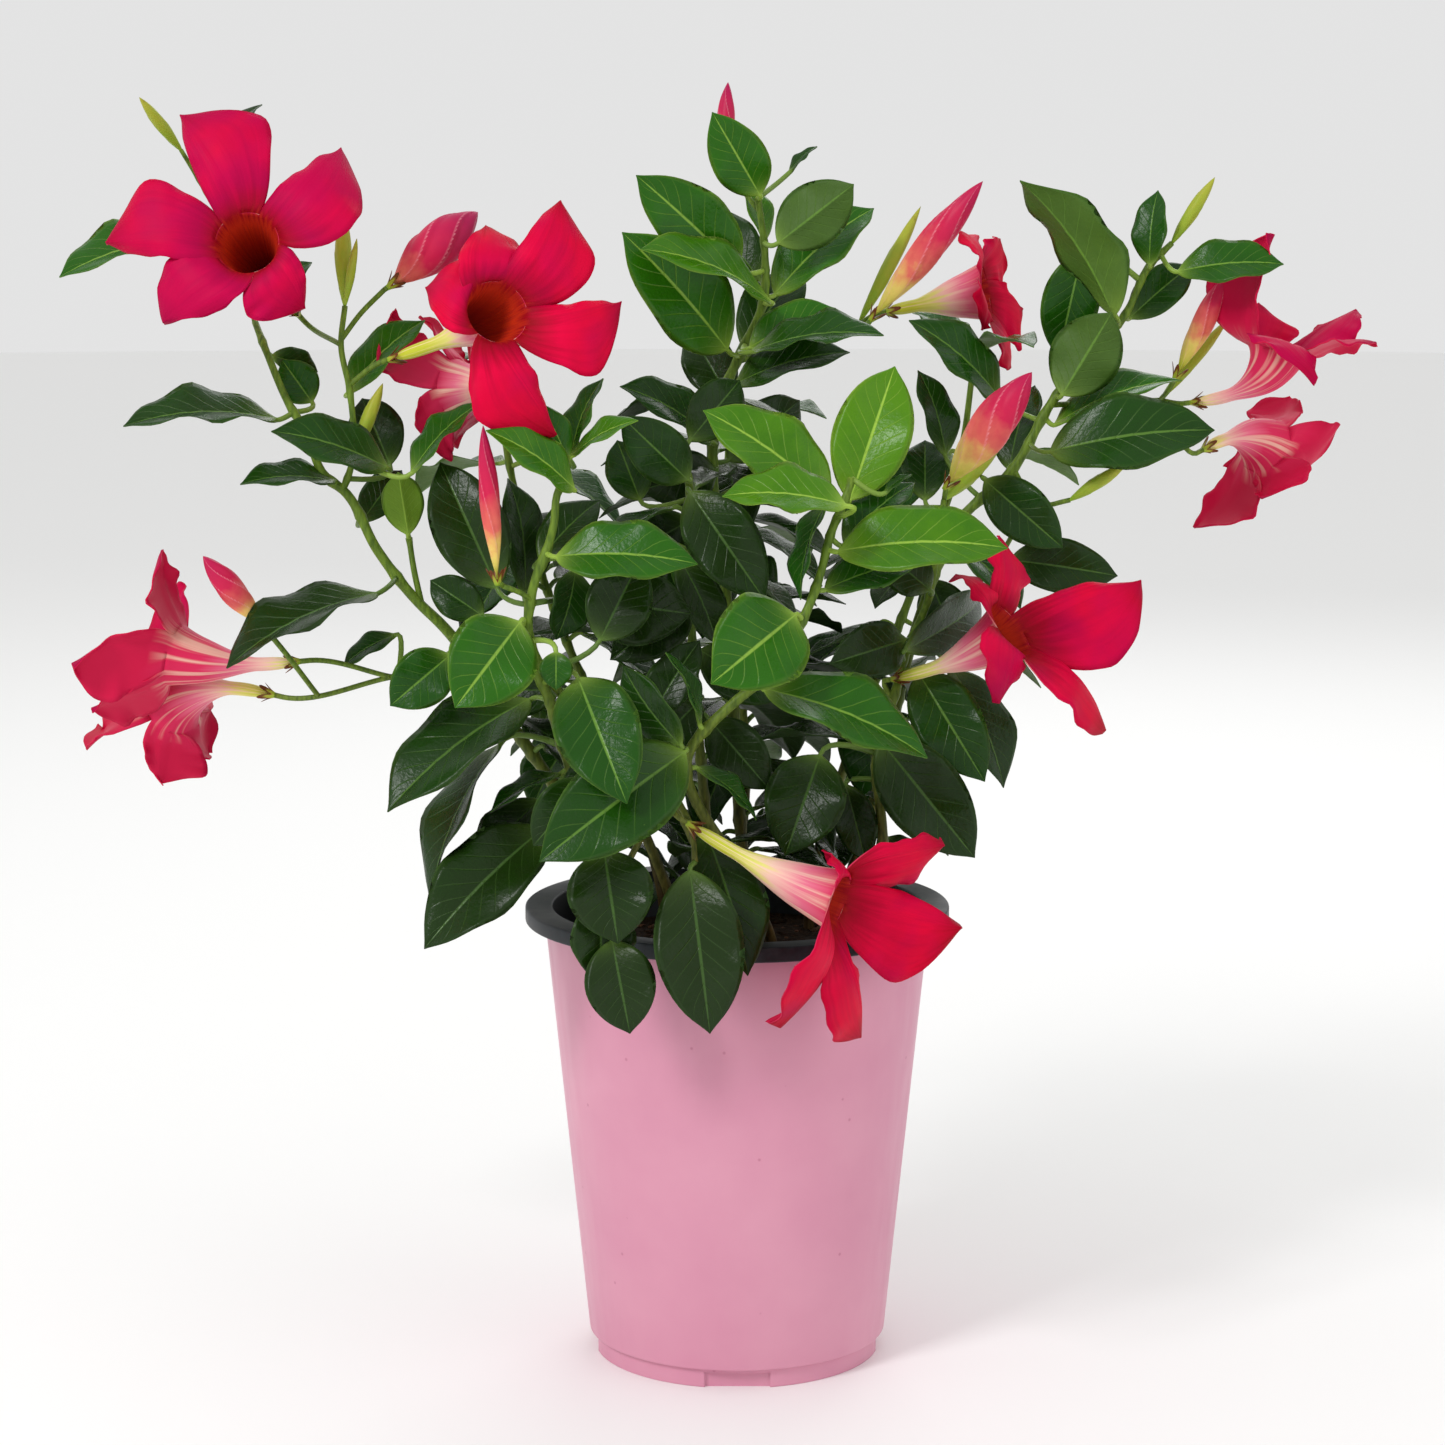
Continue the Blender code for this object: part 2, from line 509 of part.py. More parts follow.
def baked(made, weld=1e-6):
    """The same object, holding its evaluated mesh."""
    mesh = evaluated_mesh(made, weld)
    made.modifiers.clear()
    made.data = mesh
    return made


def boolean(target, operation, other):
    modifier = target.modifiers.new(operation.lower(), "BOOLEAN")
    modifier.operation = operation
    modifier.solver = "MANIFOLD"
    if isinstance(other, bpy.types.Collection):
        modifier.operand_type = "COLLECTION"
        modifier.collection = other
    else:
        modifier.object = other
    return modifier


def turned(name, profile, collection, surface):
    """A solid turned round the Z axis from (radius, height) points that run down its outer side."""
    mesh = bpy.data.meshes.new(name)
    points = [(radius, 0, height) for radius, height in profile]
    mesh.from_pydata(points, [(i, i + 1) for i in range(len(points) - 1)], [])
    made = add_object(name, mesh, collection, surface)
    screw = made.modifiers.new("turn", "SCREW")
    screw.steps = POT_SIDES
    screw.render_steps = POT_SIDES
    screw.use_merge_vertices = True
    screw.merge_threshold = 0.00001
    mesh.shade_smooth()
    return made


def tube(name, start_radius, end_radius, points, collection):
    """A tapering stem through the points, as a closed mesh."""
    curve = bpy.data.curves.new(name, "CURVE")
    curve.dimensions = "3D"
    curve.bevel_depth = MM
    curve.bevel_resolution = 1 if start_radius > 2 else 0
    curve.use_fill_caps = True
    spline = curve.splines.new("POLY")
    spline.points.add(len(points) - 1)
    for index, point in enumerate(points):
        share = index / (len(points) - 1)
        spline.points[index].co = (*point, 1)
        spline.points[index].radius = start_radius + (end_radius - start_radius) * share
    guide = add_object(name + "_line", curve, collection)
    mesh = evaluated_mesh(guide)
    bpy.data.objects.remove(guide)
    return add_object(name, mesh, collection)


def grid(shape, columns, rows):
    """A flat grid added to the shape, with each vertex's column and row number."""
    made = bmesh.ops.create_grid(shape, x_segments=columns, y_segments=rows, size=1)
    across = np.array([(vertex.co.x + 1) / 2 * columns for vertex in made["verts"]])
    along = np.array([(vertex.co.y + 1) / 2 * rows for vertex in made["verts"]])
    return made["verts"], np.round(across).astype(int), np.round(along).astype(int)


def move(vertices, places):
    for vertex, point in zip(vertices, places):
        vertex.co = Vector(point)


def shell(name, shape, thickness, collection, surface=None):
    """A closed shell on both sides of the shape, split the same way on each."""
    bmesh.ops.remove_doubles(shape, verts=shape.verts, dist=1e-7)
    bmesh.ops.triangulate(shape, faces=shape.faces)
    bmesh.ops.recalc_face_normals(shape, faces=shape.faces)
    mesh = bpy.data.meshes.new(name)
    shape.to_mesh(mesh)
    shape.free()
    made = add_object(name, mesh, collection, surface)
    solidify = made.modifiers.new("thickness", "SOLIDIFY")
    solidify.thickness = thickness
    solidify.offset = 0
    return baked(made)


def leaf_object(name, leaf, row_shares, collection):
    shape = bmesh.new()
    vertices, columns, rows = grid(shape, 2, len(row_shares) - 1)
    along = np.array(row_shares)[rows]
    move(vertices, leaf_surface(leaf, columns - 1.0, along))
    return shell(name, shape, LEAF_THICKNESS, collection)


def bloom_object(name, bloom, collection, surface):
    shape = bmesh.new()
    columns = LOBES * LOBE_COLUMNS
    vertices, column, row = grid(shape, columns, len(TUBE_ROWS) - 1)
    roll = bloom[2][3]
    first_bearing = roll - math.pi / LOBES
    bearing = first_bearing + 2 * math.pi * (column % columns) / columns
    move(vertices, tube_surface(bloom, bearing, np.array(TUBE_ROWS)[row]))
    for index in range(LOBES):
        vertices, column, row = grid(shape, LOBE_COLUMNS, LOBE_ROWS)
        across = 2 * column / LOBE_COLUMNS - 1
        move(vertices, lobe_surface(bloom, index, across, row / LOBE_ROWS))
    bmesh.ops.remove_doubles(shape, verts=shape.verts, dist=2e-6)
    return shell(name, shape, PETAL_THICKNESS, collection, surface)


def bud_object(name, base, tip, width, collection, surface=None):
    shape = bmesh.new()
    sides = 6 if surface else 4
    made = bmesh.ops.create_uvsphere(shape, u_segments=sides, v_segments=sides, radius=1)
    heights = np.array([vertex.co.z for vertex in made["verts"]])
    bearing = np.array([math.atan2(vertex.co.y, vertex.co.x) for vertex in made["verts"]])
    share = np.clip(1 - np.arccos(np.clip(heights, -1, 1)) / math.pi, 0, 1)
    move(made["verts"], bud_surface(base, tip, width, bearing, share))
    mesh = bpy.data.meshes.new(name)
    shape.to_mesh(mesh)
    shape.free()
    return add_object(name, mesh, collection, surface)


def calyx_object(name, centre, heading, collection):
    """A crown of five pointed sepals that spread round the foot of a bloom or bud."""
    axis_a = unit(np.cross(heading, (0.2, 1.0, 0.1)))
    axis_b = np.cross(heading, axis_a)
    shape = bmesh.new()
    crown = bmesh.ops.create_cone(shape, cap_ends=True, segments=2 * LOBES, radius1=1, radius2=2, depth=2)
    for vertex in crown["verts"]:
        bearing = math.atan2(vertex.co.y, vertex.co.x)
        pointed = round(bearing / (math.pi / LOBES)) % 2 == 0
        if vertex.co.z < 0:
            radius, height = 1.0, -1.6
        else:
            radius, height = (4.6, 5.0) if pointed else (1.5, 0.4)
        out = math.cos(bearing) * axis_a + math.sin(bearing) * axis_b
        vertex.co = Vector(centre + (out * radius + heading * height) * MM)
    cup = max((face for face in shape.faces if len(face.verts) > 4),
              key=lambda face: Vector(heading).dot(face.calc_center_median()))
    middle = bmesh.ops.poke(shape, faces=[cup])["verts"][0]
    middle.co = Vector(centre - heading * 0.2 * MM)
    bmesh.ops.triangulate(shape, faces=shape.faces)
    mesh = bpy.data.meshes.new(name)
    shape.to_mesh(mesh)
    shape.free()
    add_object(name, mesh, collection)


# Where each growing piece goes.


def triangles_of(made):
    made.data.calc_loop_triangles()
    points = np.array([vertex.co for vertex in made.data.vertices])
    return points, [tuple(face.vertices) for face in made.data.loop_triangles]


def sheets(leaf, row_shares):
    """Triangles a little outside both faces of a leaf, to test what the leaf would touch."""
    on_twig = np.linalg.norm(leaf[1] - leaf[0]) > LONGEST_PETIOLE
    rows = (*(TWIG_ROWS if on_twig else (0.0, 0.5)), *row_shares[1:])
    along, across = np.meshgrid(rows, (-1.0, 0.0, 1.0), indexing="ij")
    middle = leaf_surface(leaf, across, along)
    spread = np.where(along < 1, 1.8, 1.0)[..., None]
    middle = (middle[:, 1:2] + (middle - middle[:, 1:2]) * spread).reshape(-1, 3)
    forward = unit(leaf[2] - leaf[1])
    up = unit(leaf[3] - leaf[3].dot(forward) * forward)
    offset = np.where(along < 1, TWIG_RADIUS, LEAF_THICKNESS / 2).reshape(-1, 1) + CLEARANCE
    outside = up * offset
    faces = []
    for row in range(len(rows) - 1):
        for column in range(2):
            corner = 3 * row + column
            faces += [(corner, corner + 1, corner + 4), (corner, corner + 4, corner + 3)]
    count = len(middle)
    faces += [tuple(index + count for index in face) for face in faces]
    return np.concatenate((middle - outside, middle + outside)), faces


class Room:
    """What is already in place, to test whether a new piece would touch it."""

    def __init__(self):
        self.owners = []
        self.trees = []
        self.lows = []
        self.highs = []

    def add(self, owner, points, faces):
        self.owners.append(owner)
        self.trees.append(BVHTree.FromPolygons(points.tolist(), faces))
        self.lows.append(points.min(axis=0))
        self.highs.append(points.max(axis=0))

    def near(self, low, high):
        """The pieces whose boxes meet a box."""
        meets = (np.array(self.lows) <= high).all(axis=1) & (np.array(self.highs) >= low).all(axis=1)
        return np.nonzero(meets)[0]

    def touches(self, points, faces, owner):
        """Whether the triangles cross a piece, other than the stems of the owner."""
        tree = None
        for index in self.near(points.min(axis=0), points.max(axis=0)):
            if self.owners[index] == owner:
                continue
            tree = tree or BVHTree.FromPolygons(points.tolist(), faces)
            if tree.overlap(self.trees[index]):
                return True
        return False


def nearest_on_stems(stems, point):
    """The nearest place on the middle lines of a shoot's stems."""
    best = None
    for line in stems:
        for start, end in zip(line[:-1], line[1:]):
            way = end - start
            share = np.clip((point - start).dot(way) / way.dot(way), 0, 1)
            found = start + share * way
            distance = np.linalg.norm(found - point)
            if best is None or distance < best[0]:
                best = (distance, found)
    return best[1]


def stem_lines(shoot):
    """Each stem as (start radius, end radius, places): the first one starts in the soil."""
    x, y = shoot["foot"]
    foot = [np.array((x * MM, y * MM, STEM_FOOT_Z)), np.array((x * MM, y * MM, SOIL_TOP_Z + 0.006))]
    lines = []
    for number, (start, end, points) in enumerate(shoot["stems"]):
        lines.append((start, end, foot + points if number == 0 else points))
    return lines


def point_along(line, share):
    """The place and the heading at a share of a line's length, counted from the soil."""
    steps = [np.linalg.norm(b - a) for a, b in zip(line[:-1], line[1:])]
    left = share * sum(steps)
    for start, end, step in zip(line[:-1], line[1:], steps):
        if left <= step or end is line[-1]:
            return start + (end - start) * min(1.0, left / step), unit(end - start)
        left -= step


def back_leaves(line, pairs):
    """Opposite leaves on a hidden stem, each pair turned from the last and drooping by its own slope."""
    for share, bearing, length, droop in pairs:
        node, heading = point_along(line, share)
        for half in (0, 1):
            angle = math.radians(bearing + 180 * half + 14 * math.sin(7 * share + 2 * half))
            flat = np.array((math.cos(angle), math.sin(angle), 0))
            base = node + unit(flat + 0.6 * heading) * 8 * MM
            outward = unit(flat - np.array((0, 0, droop + 0.25 * half)))
            size = length * (1 - 0.1 * half)
            normal = np.cross(np.cross(outward, (0, 0, 1)), outward)
            yield 0, (base, base + outward * size * MM, unit(normal), LEAF_ASPECT * size * MM / 2)


def seen_leaves(rows):
    """Leaves that the photograph shows, from their rows, each with the area that it shows in pixels."""
    for base_x, base_y, base_depth, tip_x, tip_y, tip_depth, width_px, side_seen in rows:
        base = place(base_x, base_y, base_depth)
        tip = place(tip_x, tip_y, tip_depth)
        reach = np.linalg.norm(np.array(EYE) - base)
        width = width_px * reach / PHOTO_FOCAL_PX
        normal, half_width = facing_normal(base, tip, width, side_seen)
        shown = width_px * math.hypot(tip_x - base_x, tip_y - base_y)
        yield shown, (base, tip, normal, half_width)


def turned_leaf(leaf, stems, shift_base, shift_tip, roll, size):
    """The leaf after its ends move along the line of sight and its blade rolls and shrinks about its base."""
    base, tip, normal, half_width = leaf
    eye = np.array(EYE)
    base = base + unit(base - eye) * shift_base * MM
    tip = tip + unit(tip - eye) * shift_tip * MM
    forward = unit(tip - base)
    tip = base + (tip - base) * size
    up = unit(normal - normal.dot(forward) * forward)
    side = np.cross(forward, up)
    turn = math.radians(roll)
    up = math.cos(turn) * up + math.sin(turn) * side
    root = nearest_on_stems(stems, base)
    return root, base, tip, up, half_width * size


def bends():
    """Small moves to try in turn, the smallest first: base shift, tip shift (mm), roll (degrees), size."""
    moves = []
    for size in (1.0, 0.9, 0.78, 0.64, 0.5):
        for shift_base in (0, 4, -4, 9, -9, 15, -15, 22, -22):
            for shift_tip in (0, 6, -6, 13, -13, 21, -21, 30, -30, 42, -42):
                for roll in (0, 16, -16, 34, -34):
                    cost = abs(shift_base) * 1.5 + abs(shift_tip) + abs(roll) * 0.5 + (1 - size) * 160
                    moves.append((cost, shift_base, shift_tip, roll, size))
    return [entry[1:] for entry in sorted(moves)]


# The pots and the soil.


def cover_pot(parts, cutters):
    slope = (COVER_TOP_RADIUS - COVER_FOOT_RADIUS) / (COVER_TOP_Z - COVER_FOOT_Z)
    inner_floor_radius = COVER_FOOT_RADIUS + slope * (COVER_FLOOR_Z - COVER_FOOT_Z) - COVER_WALL
    profile = [
        (0, COVER_FLOOR_Z),
        (inner_floor_radius, COVER_FLOOR_Z),
        (COVER_TOP_RADIUS - COVER_WALL, COVER_TOP_Z),
        (COVER_TOP_RADIUS, COVER_TOP_Z),
        (COVER_FOOT_RADIUS, COVER_FOOT_Z),
        (FOOT_RING_OUTER, COVER_FOOT_Z - 0.0006),
        (FOOT_RING_OUTER, 0),
        (FOOT_RING_INNER, 0),
        (FOOT_RING_INNER, FOOT_RECESS),
        (0, FOOT_RECESS),
    ]
    pot = turned("cover_pot", profile, parts, material("pink_plastic", (0.72, 0.30, 0.42, 1), 0.35))
    baked(pot)
    for index in range(4):
        bpy.ops.mesh.primitive_cube_add(size=1)
        notch = bpy.context.object
        notch.name = f"foot_notch_{index + 1}"
        depth = 0.012
        notch.scale = (depth, NOTCH_WIDTH, 2 * NOTCH_HEIGHT)
        angle = math.radians(90 * index)
        reach = NOTCH_BACK + depth / 2
        notch.location = (reach * math.cos(angle), reach * math.sin(angle), 0)
        notch.rotation_euler = (0, 0, angle)
        notch.display_type = "WIRE"
        notch.hide_render = True
        for collection in notch.users_collection:
            collection.objects.unlink(notch)
        cutters.objects.link(notch)
        boolean(pot, "DIFFERENCE", notch)
    return pot


def grow_pot(parts):
    slope = (COVER_TOP_RADIUS - COVER_FOOT_RADIUS) / (COVER_TOP_Z - COVER_FOOT_Z)
    under_lip = LIP_Z - LIP_THICKNESS
    outer_top = COVER_TOP_RADIUS - COVER_WALL - 2 * GAP
    outer_floor = outer_top - slope * (under_lip - GROW_FLOOR_Z)
    edge = LIP_RADIUS - LIP_THICKNESS
    profile = [
        (0, GROW_FLOOR_Z + GROW_WALL),
        (outer_floor - GROW_WALL, GROW_FLOOR_Z + GROW_WALL),
        (outer_top - GROW_WALL, LIP_Z),
        (LIP_RADIUS - 0.0008, LIP_Z),
        (LIP_RADIUS, LIP_Z - 0.0008),
        (LIP_RADIUS, LIP_Z - LIP_DROP),
        (edge, LIP_Z - LIP_DROP),
        (edge, under_lip),
        (outer_top, under_lip),
        (outer_floor, GROW_FLOOR_Z),
        (0, GROW_FLOOR_Z),
    ]
    baked(turned("grow_pot", profile, parts, material("black_plastic", (0.02, 0.025, 0.03, 1), 0.5)))
    return outer_floor - GROW_WALL, outer_top - GROW_WALL


def soil(parts, cutters, floor_radius, top_radius, feet):
    """Soil that fills the nursery pot to a finger's width below its lip, with a plain hole for each stem."""
    floor_z = GROW_FLOOR_Z + GROW_WALL + GAP
    slope = (top_radius - floor_radius) / (LIP_Z - GROW_FLOOR_Z - GROW_WALL)
    side = floor_radius + slope * (SOIL_TOP_Z - SOIL_MOUND - GROW_FLOOR_Z - GROW_WALL) - 1.3 * GAP
    profile = [
        (0, SOIL_TOP_Z),
        (0.6 * side, SOIL_TOP_Z - 0.3 * SOIL_MOUND),
        (side, SOIL_TOP_Z - SOIL_MOUND),
        (floor_radius - 1.3 * GAP, floor_z),
        (0, floor_z),
    ]
    made = turned("soil", profile, parts, material("soil_brown", (0.03, 0.018, 0.01, 1), 0.9))
    baked(made)
    for number, (x, y, radius) in enumerate(feet):
        bpy.ops.mesh.primitive_cylinder_add(vertices=6, radius=radius * MM + 2.6 * GAP, depth=2 * HOLE_DEPTH,
                                            location=(x * MM, y * MM, SOIL_TOP_Z))
        hole = bpy.context.object
        hole.name = f"stem_hole_{number + 1}"
        hole.display_type = "WIRE"
        hole.hide_render = True
        for collection in hole.users_collection:
            collection.objects.unlink(hole)
        cutters.objects.link(hole)
        boolean(made, "DIFFERENCE", hole)


# Blooms and buds, then stems, then leaves that bend clear of them all.


def seat_of(base, heading):
    """Where the pedicel ends, a gap below the foot of its bloom or bud."""
    return base - heading * 1.2 * MM


def hang(stems, calyxes, joint, base, heading):
    """Adds the pedicel and calyx of a bloom or bud to its shoot's lists."""
    seat = seat_of(base, heading)
    root = nearest_on_stems([points for _, _, points in stems], joint)
    line = [root, seat - heading * 5 * MM, seat]
    if np.linalg.norm(seat - root) < 8 * MM:
        line = [root, seat]
    stems.append((1.2, 1.3, line))
    calyxes.append((seat, heading))


def grow(parts, vessels):
    petal = material("petal_red", PETAL_COLOUR, 0.45)
    bud_red = material("bud_red", BUD_COLOUR, 0.45)
    fixed = {}
    shoot_stems = {name: stem_lines(shoot) for name, shoot in SHOOTS.items()}
    calyxes = {name: [] for name in SHOOTS}
    for name, (shoot, joint, base_row, mouth_row, tip_rows) in BLOOMS.items():
        base = place(*base_row)
        mouth = place(*mouth_row)
        tips = [place(*row) for row in tip_rows]
        bloom = (base, mouth, bloom_frame(base, mouth, tips))
        fixed[name] = bloom_object(name, bloom, parts, petal)
        facing = bloom[2][0]
        heading = unit(mouth - facing * 0.45 * np.linalg.norm(mouth - base) - base)
        hang(shoot_stems[shoot], calyxes[shoot], place(*joint), base, heading)
    for name, (shoot, joint, base_row, tip_row, width_px) in BUDS.items():
        base = place(*base_row)
        tip = place(*tip_row)
        heading = unit(tip - base)
        width = width_px * np.linalg.norm(base - np.array(EYE)) / PHOTO_FOCAL_PX
        fixed[name] = bud_object(name, base, tip, width, parts, bud_red)
        hang(shoot_stems[shoot], calyxes[shoot], place(*joint), base, heading)

    groups = {}
    lines = {}
    for name, stems in shoot_stems.items():
        groups[name] = new_collection(name + "_pieces")
        lines[name] = [points for _, _, points in stems[:len(SHOOTS[name]["stems"])]]
        for number, (start, end, points) in enumerate(stems):
            tube(f"{name}_stem_{number}", start, end, points, groups[name])
        for number, (seat, heading) in enumerate(calyxes[name]):
            calyx_object(f"{name}_calyx_{number}", seat, heading, groups[name])
        for number, (base_row, tip_row, width_px) in enumerate(GREEN_BUDS.get(name, [])):
            base = place(*base_row)
            root = nearest_on_stems(lines[name], base)
            width = width_px * np.linalg.norm(base - np.array(EYE)) / PHOTO_FOCAL_PX
            tip = place(*tip_row)
            bud_object(f"{name}_bud_{number}", root - unit(tip - root) * 2 * MM, tip, width, groups[name])
    room = Room()
    for name, made in fixed.items():
        room.add(name, *triangles_of(made))
    for name, group in groups.items():
        for made in group.objects:
            room.add(name, *triangles_of(made))
    for made in vessels:
        room.add(made.name, *triangles_of(made))

    wanted = []
    for name in SHOOTS:
        rows = list(seen_leaves(LEAVES.get(name, [])))
        rows += list(back_leaves(lines[name][0], BACK_PAIRS.get(name, [])))
        for number, (shown, leaf) in enumerate(rows):
            first = leaf[0][1] + leaf[1][1] - shown * SHOWN_FIRST * MM
            row_shares = LEAF_ROWS if shown > LARGE_SHOWN else SMALL_LEAF_ROWS
            wanted.append((first, number, name, leaf, row_shares))
    wanted.sort(key=lambda entry: entry[0])
    moves = bends()
    for _, number, name, leaf, row_shares in wanted:
        for bend in moves:
            trial = turned_leaf(leaf, lines[name], *bend)
            points, faces = sheets(trial, row_shares)
            if not room.touches(points, faces, name):
                break
        else:
            # No place is clear: the plant does without this leaf.
            continue
        root, base, *rest = trial
        reach = np.linalg.norm(base - root)
        if reach > LONGEST_PETIOLE:
            forward = unit(trial[2] - base)
            share = 1 - PETIOLE_LENGTH / reach
            line = bezier((root, base - forward * PETIOLE_BEND * reach, base), np.array((*TWIG_ROWS, share)))
            twig = tube(f"{name}_twig_{number}", TWIG_RADIUS / MM, 0.8 * TWIG_RADIUS / MM, list(line), groups[name])
            room.add(name, *triangles_of(twig))
            trial = (line[-2] + 0.9 * (line[-1] - line[-2]), base, *rest)
        leaf_object(f"{name}_leaf_{number}", trial, row_shares, groups[name])
        room.add(name + "_leaf", points, faces)
    return groups


def fuse(name, group, parts, surface):
    """One solid from the pieces of a shoot."""
    pieces = sorted(group.objects, key=lambda made: made.name)
    trunk = next(made for made in pieces if made.name.endswith("_stem_0"))
    group.objects.unlink(trunk)
    parts.objects.link(trunk)
    trunk.name = name
    trunk.data.materials.append(surface)
    boolean(trunk, "UNION", group)
    baked(trunk, weld=0)
    for made in list(group.objects):
        bpy.data.objects.remove(made)
    bpy.data.collections.remove(group)


def main():
    for old in list(bpy.data.objects):
        bpy.data.objects.remove(old)
    parts = new_collection("potted_dipladenia")
    cutters = new_collection("cutters", hidden=True)
    cover_pot(parts, cutters)
    floor_radius, top_radius = grow_pot(parts)
    feet = [(*shoot["foot"], shoot["stems"][0][0]) for shoot in SHOOTS.values()]
    soil(parts, cutters, floor_radius, top_radius, feet)
    leaf_green = material("leaf_green", LEAF_COLOUR, 0.4)
    vessels = [parts.objects[name] for name in ("cover_pot", "grow_pot", "soil")]
    for name, group in grow(parts, vessels).items():
        fuse(name, group, parts, leaf_green)


main()
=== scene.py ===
"""Looks of a potted dipladenia: two nested plastic pots, potting mix, leafy shoots, blooms and buds.

Metres, +Z up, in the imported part's frame: the pots' axis is x = y = 0 and the foot stands on z = 0. Leaves,
blooms and buds stand where a photograph shows them, so their places are written as pixels and a depth in
millimetres, and a negative depth is nearer the viewer than the pots' axis.
"""

import math

import bmesh
import bpy
import numpy as np
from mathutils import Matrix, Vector


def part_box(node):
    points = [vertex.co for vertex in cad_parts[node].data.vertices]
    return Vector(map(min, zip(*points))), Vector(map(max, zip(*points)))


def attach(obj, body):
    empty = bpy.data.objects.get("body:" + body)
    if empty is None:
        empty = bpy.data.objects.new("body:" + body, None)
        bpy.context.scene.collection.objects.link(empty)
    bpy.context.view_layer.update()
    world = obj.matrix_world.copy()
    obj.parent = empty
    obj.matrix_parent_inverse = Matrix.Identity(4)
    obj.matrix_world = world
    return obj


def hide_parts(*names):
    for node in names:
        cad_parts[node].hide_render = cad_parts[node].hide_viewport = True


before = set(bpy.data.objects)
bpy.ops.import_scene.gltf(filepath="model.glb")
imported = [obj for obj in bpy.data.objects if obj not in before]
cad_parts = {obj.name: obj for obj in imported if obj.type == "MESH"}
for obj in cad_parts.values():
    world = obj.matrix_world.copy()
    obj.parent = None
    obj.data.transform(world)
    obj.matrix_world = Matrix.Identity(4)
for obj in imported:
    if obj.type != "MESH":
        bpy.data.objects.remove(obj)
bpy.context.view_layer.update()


# Cover pot. The outer pot is one thin moulding of pink polypropylene, wider at the top, which stands on a
# foot ring with four shallow notches. Moulding leaves a satin skin with faint clouds, specks and scuffs.

MM = 0.001
COVER_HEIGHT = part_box("cover_pot")[1].z
COVER_TOP_RADIUS = 77.5 * MM
COVER_FOOT_RADIUS = 60.0 * MM
COVER_FOOT_HEIGHT = 8.0 * MM
COVER_WALL = 1.6 * MM
COVER_FLOOR = 8.2 * MM
RING_OUTER = 57.7 * MM
RING_INNER = 52.8 * MM
RING_RECESS = 6.0 * MM
NOTCH_HALF_WIDTH = 13.0 * MM
NOTCH_HEIGHT = 6.2 * MM
NOTCH_BACK = 54.7 * MM
NOTCH_EDGE = 0.02 * MM
NOTCH_EDGE_TURN = 0.0004
EDGE_ROUNDING = 0.45 * MM
POT_COLUMNS = 160
CORNER_STEPS = 4
CLOUD_SIZE = 45 * MM
SPECK_SPACING = 14 * MM
SCUFF_WIDTH = 5 * MM
SKIN_GRAIN = 1.2 * MM
MIX_FACTOR, MIX_A, MIX_B, MIX_RESULT = 0, 6, 7, 2


def linear(hex_colour):
    """Linear colour of an sRGB hex value: c / 12.92 when dark, else ((c + 0.055) / 1.055) ^ 2.4."""
    share = np.array([int(hex_colour[start:start + 2], 16) for start in (1, 3, 5)]) / 255
    dark = share / 12.92
    light = ((share + 0.055) / 1.055) ** 2.4
    return (*np.where(share <= 0.04045, dark, light).tolist(), 1.0)


def new_material(name, sockets):
    """A material, its node tree and its shader, whose sockets are set to the values given."""
    made = bpy.data.materials.new(name)
    made.use_nodes = True
    shader = made.node_tree.nodes["Principled BSDF"]
    for socket, value in sockets.items():
        shader.inputs[socket].default_value = value
    return made, made.node_tree, shader


def add_node(tree, kind, inputs, stops=(), **settings):
    """A node with its settings. Each input is a value or another node's output, and stops are a ramp's."""
    made = tree.nodes.new(kind)
    for name, value in settings.items():
        setattr(made, name, value)
    for socket, value in inputs.items():
        if isinstance(value, bpy.types.NodeSocket):
            tree.links.new(value, made.inputs[socket])
        else:
            made.inputs[socket].default_value = value
    for number, (position, colour) in enumerate(stops):
        elements = made.color_ramp.elements
        stop = elements[number] if number < 2 else elements.new(position)
        stop.position = position
        stop.color = linear(colour)
    return made


def join_quads(rows, columns, closed):
    """Corner numbers of a grid's quads, row by row. A closed grid joins its last column to its first."""
    row, column = np.meshgrid(np.arange(rows - 1), np.arange(columns - (not closed)), indexing="ij")
    start = row * columns
    after = (column + 1) % columns
    return np.stack((start + column, start + after, start + columns + after, start + columns + column),
                    axis=-1).reshape(-1, 4)


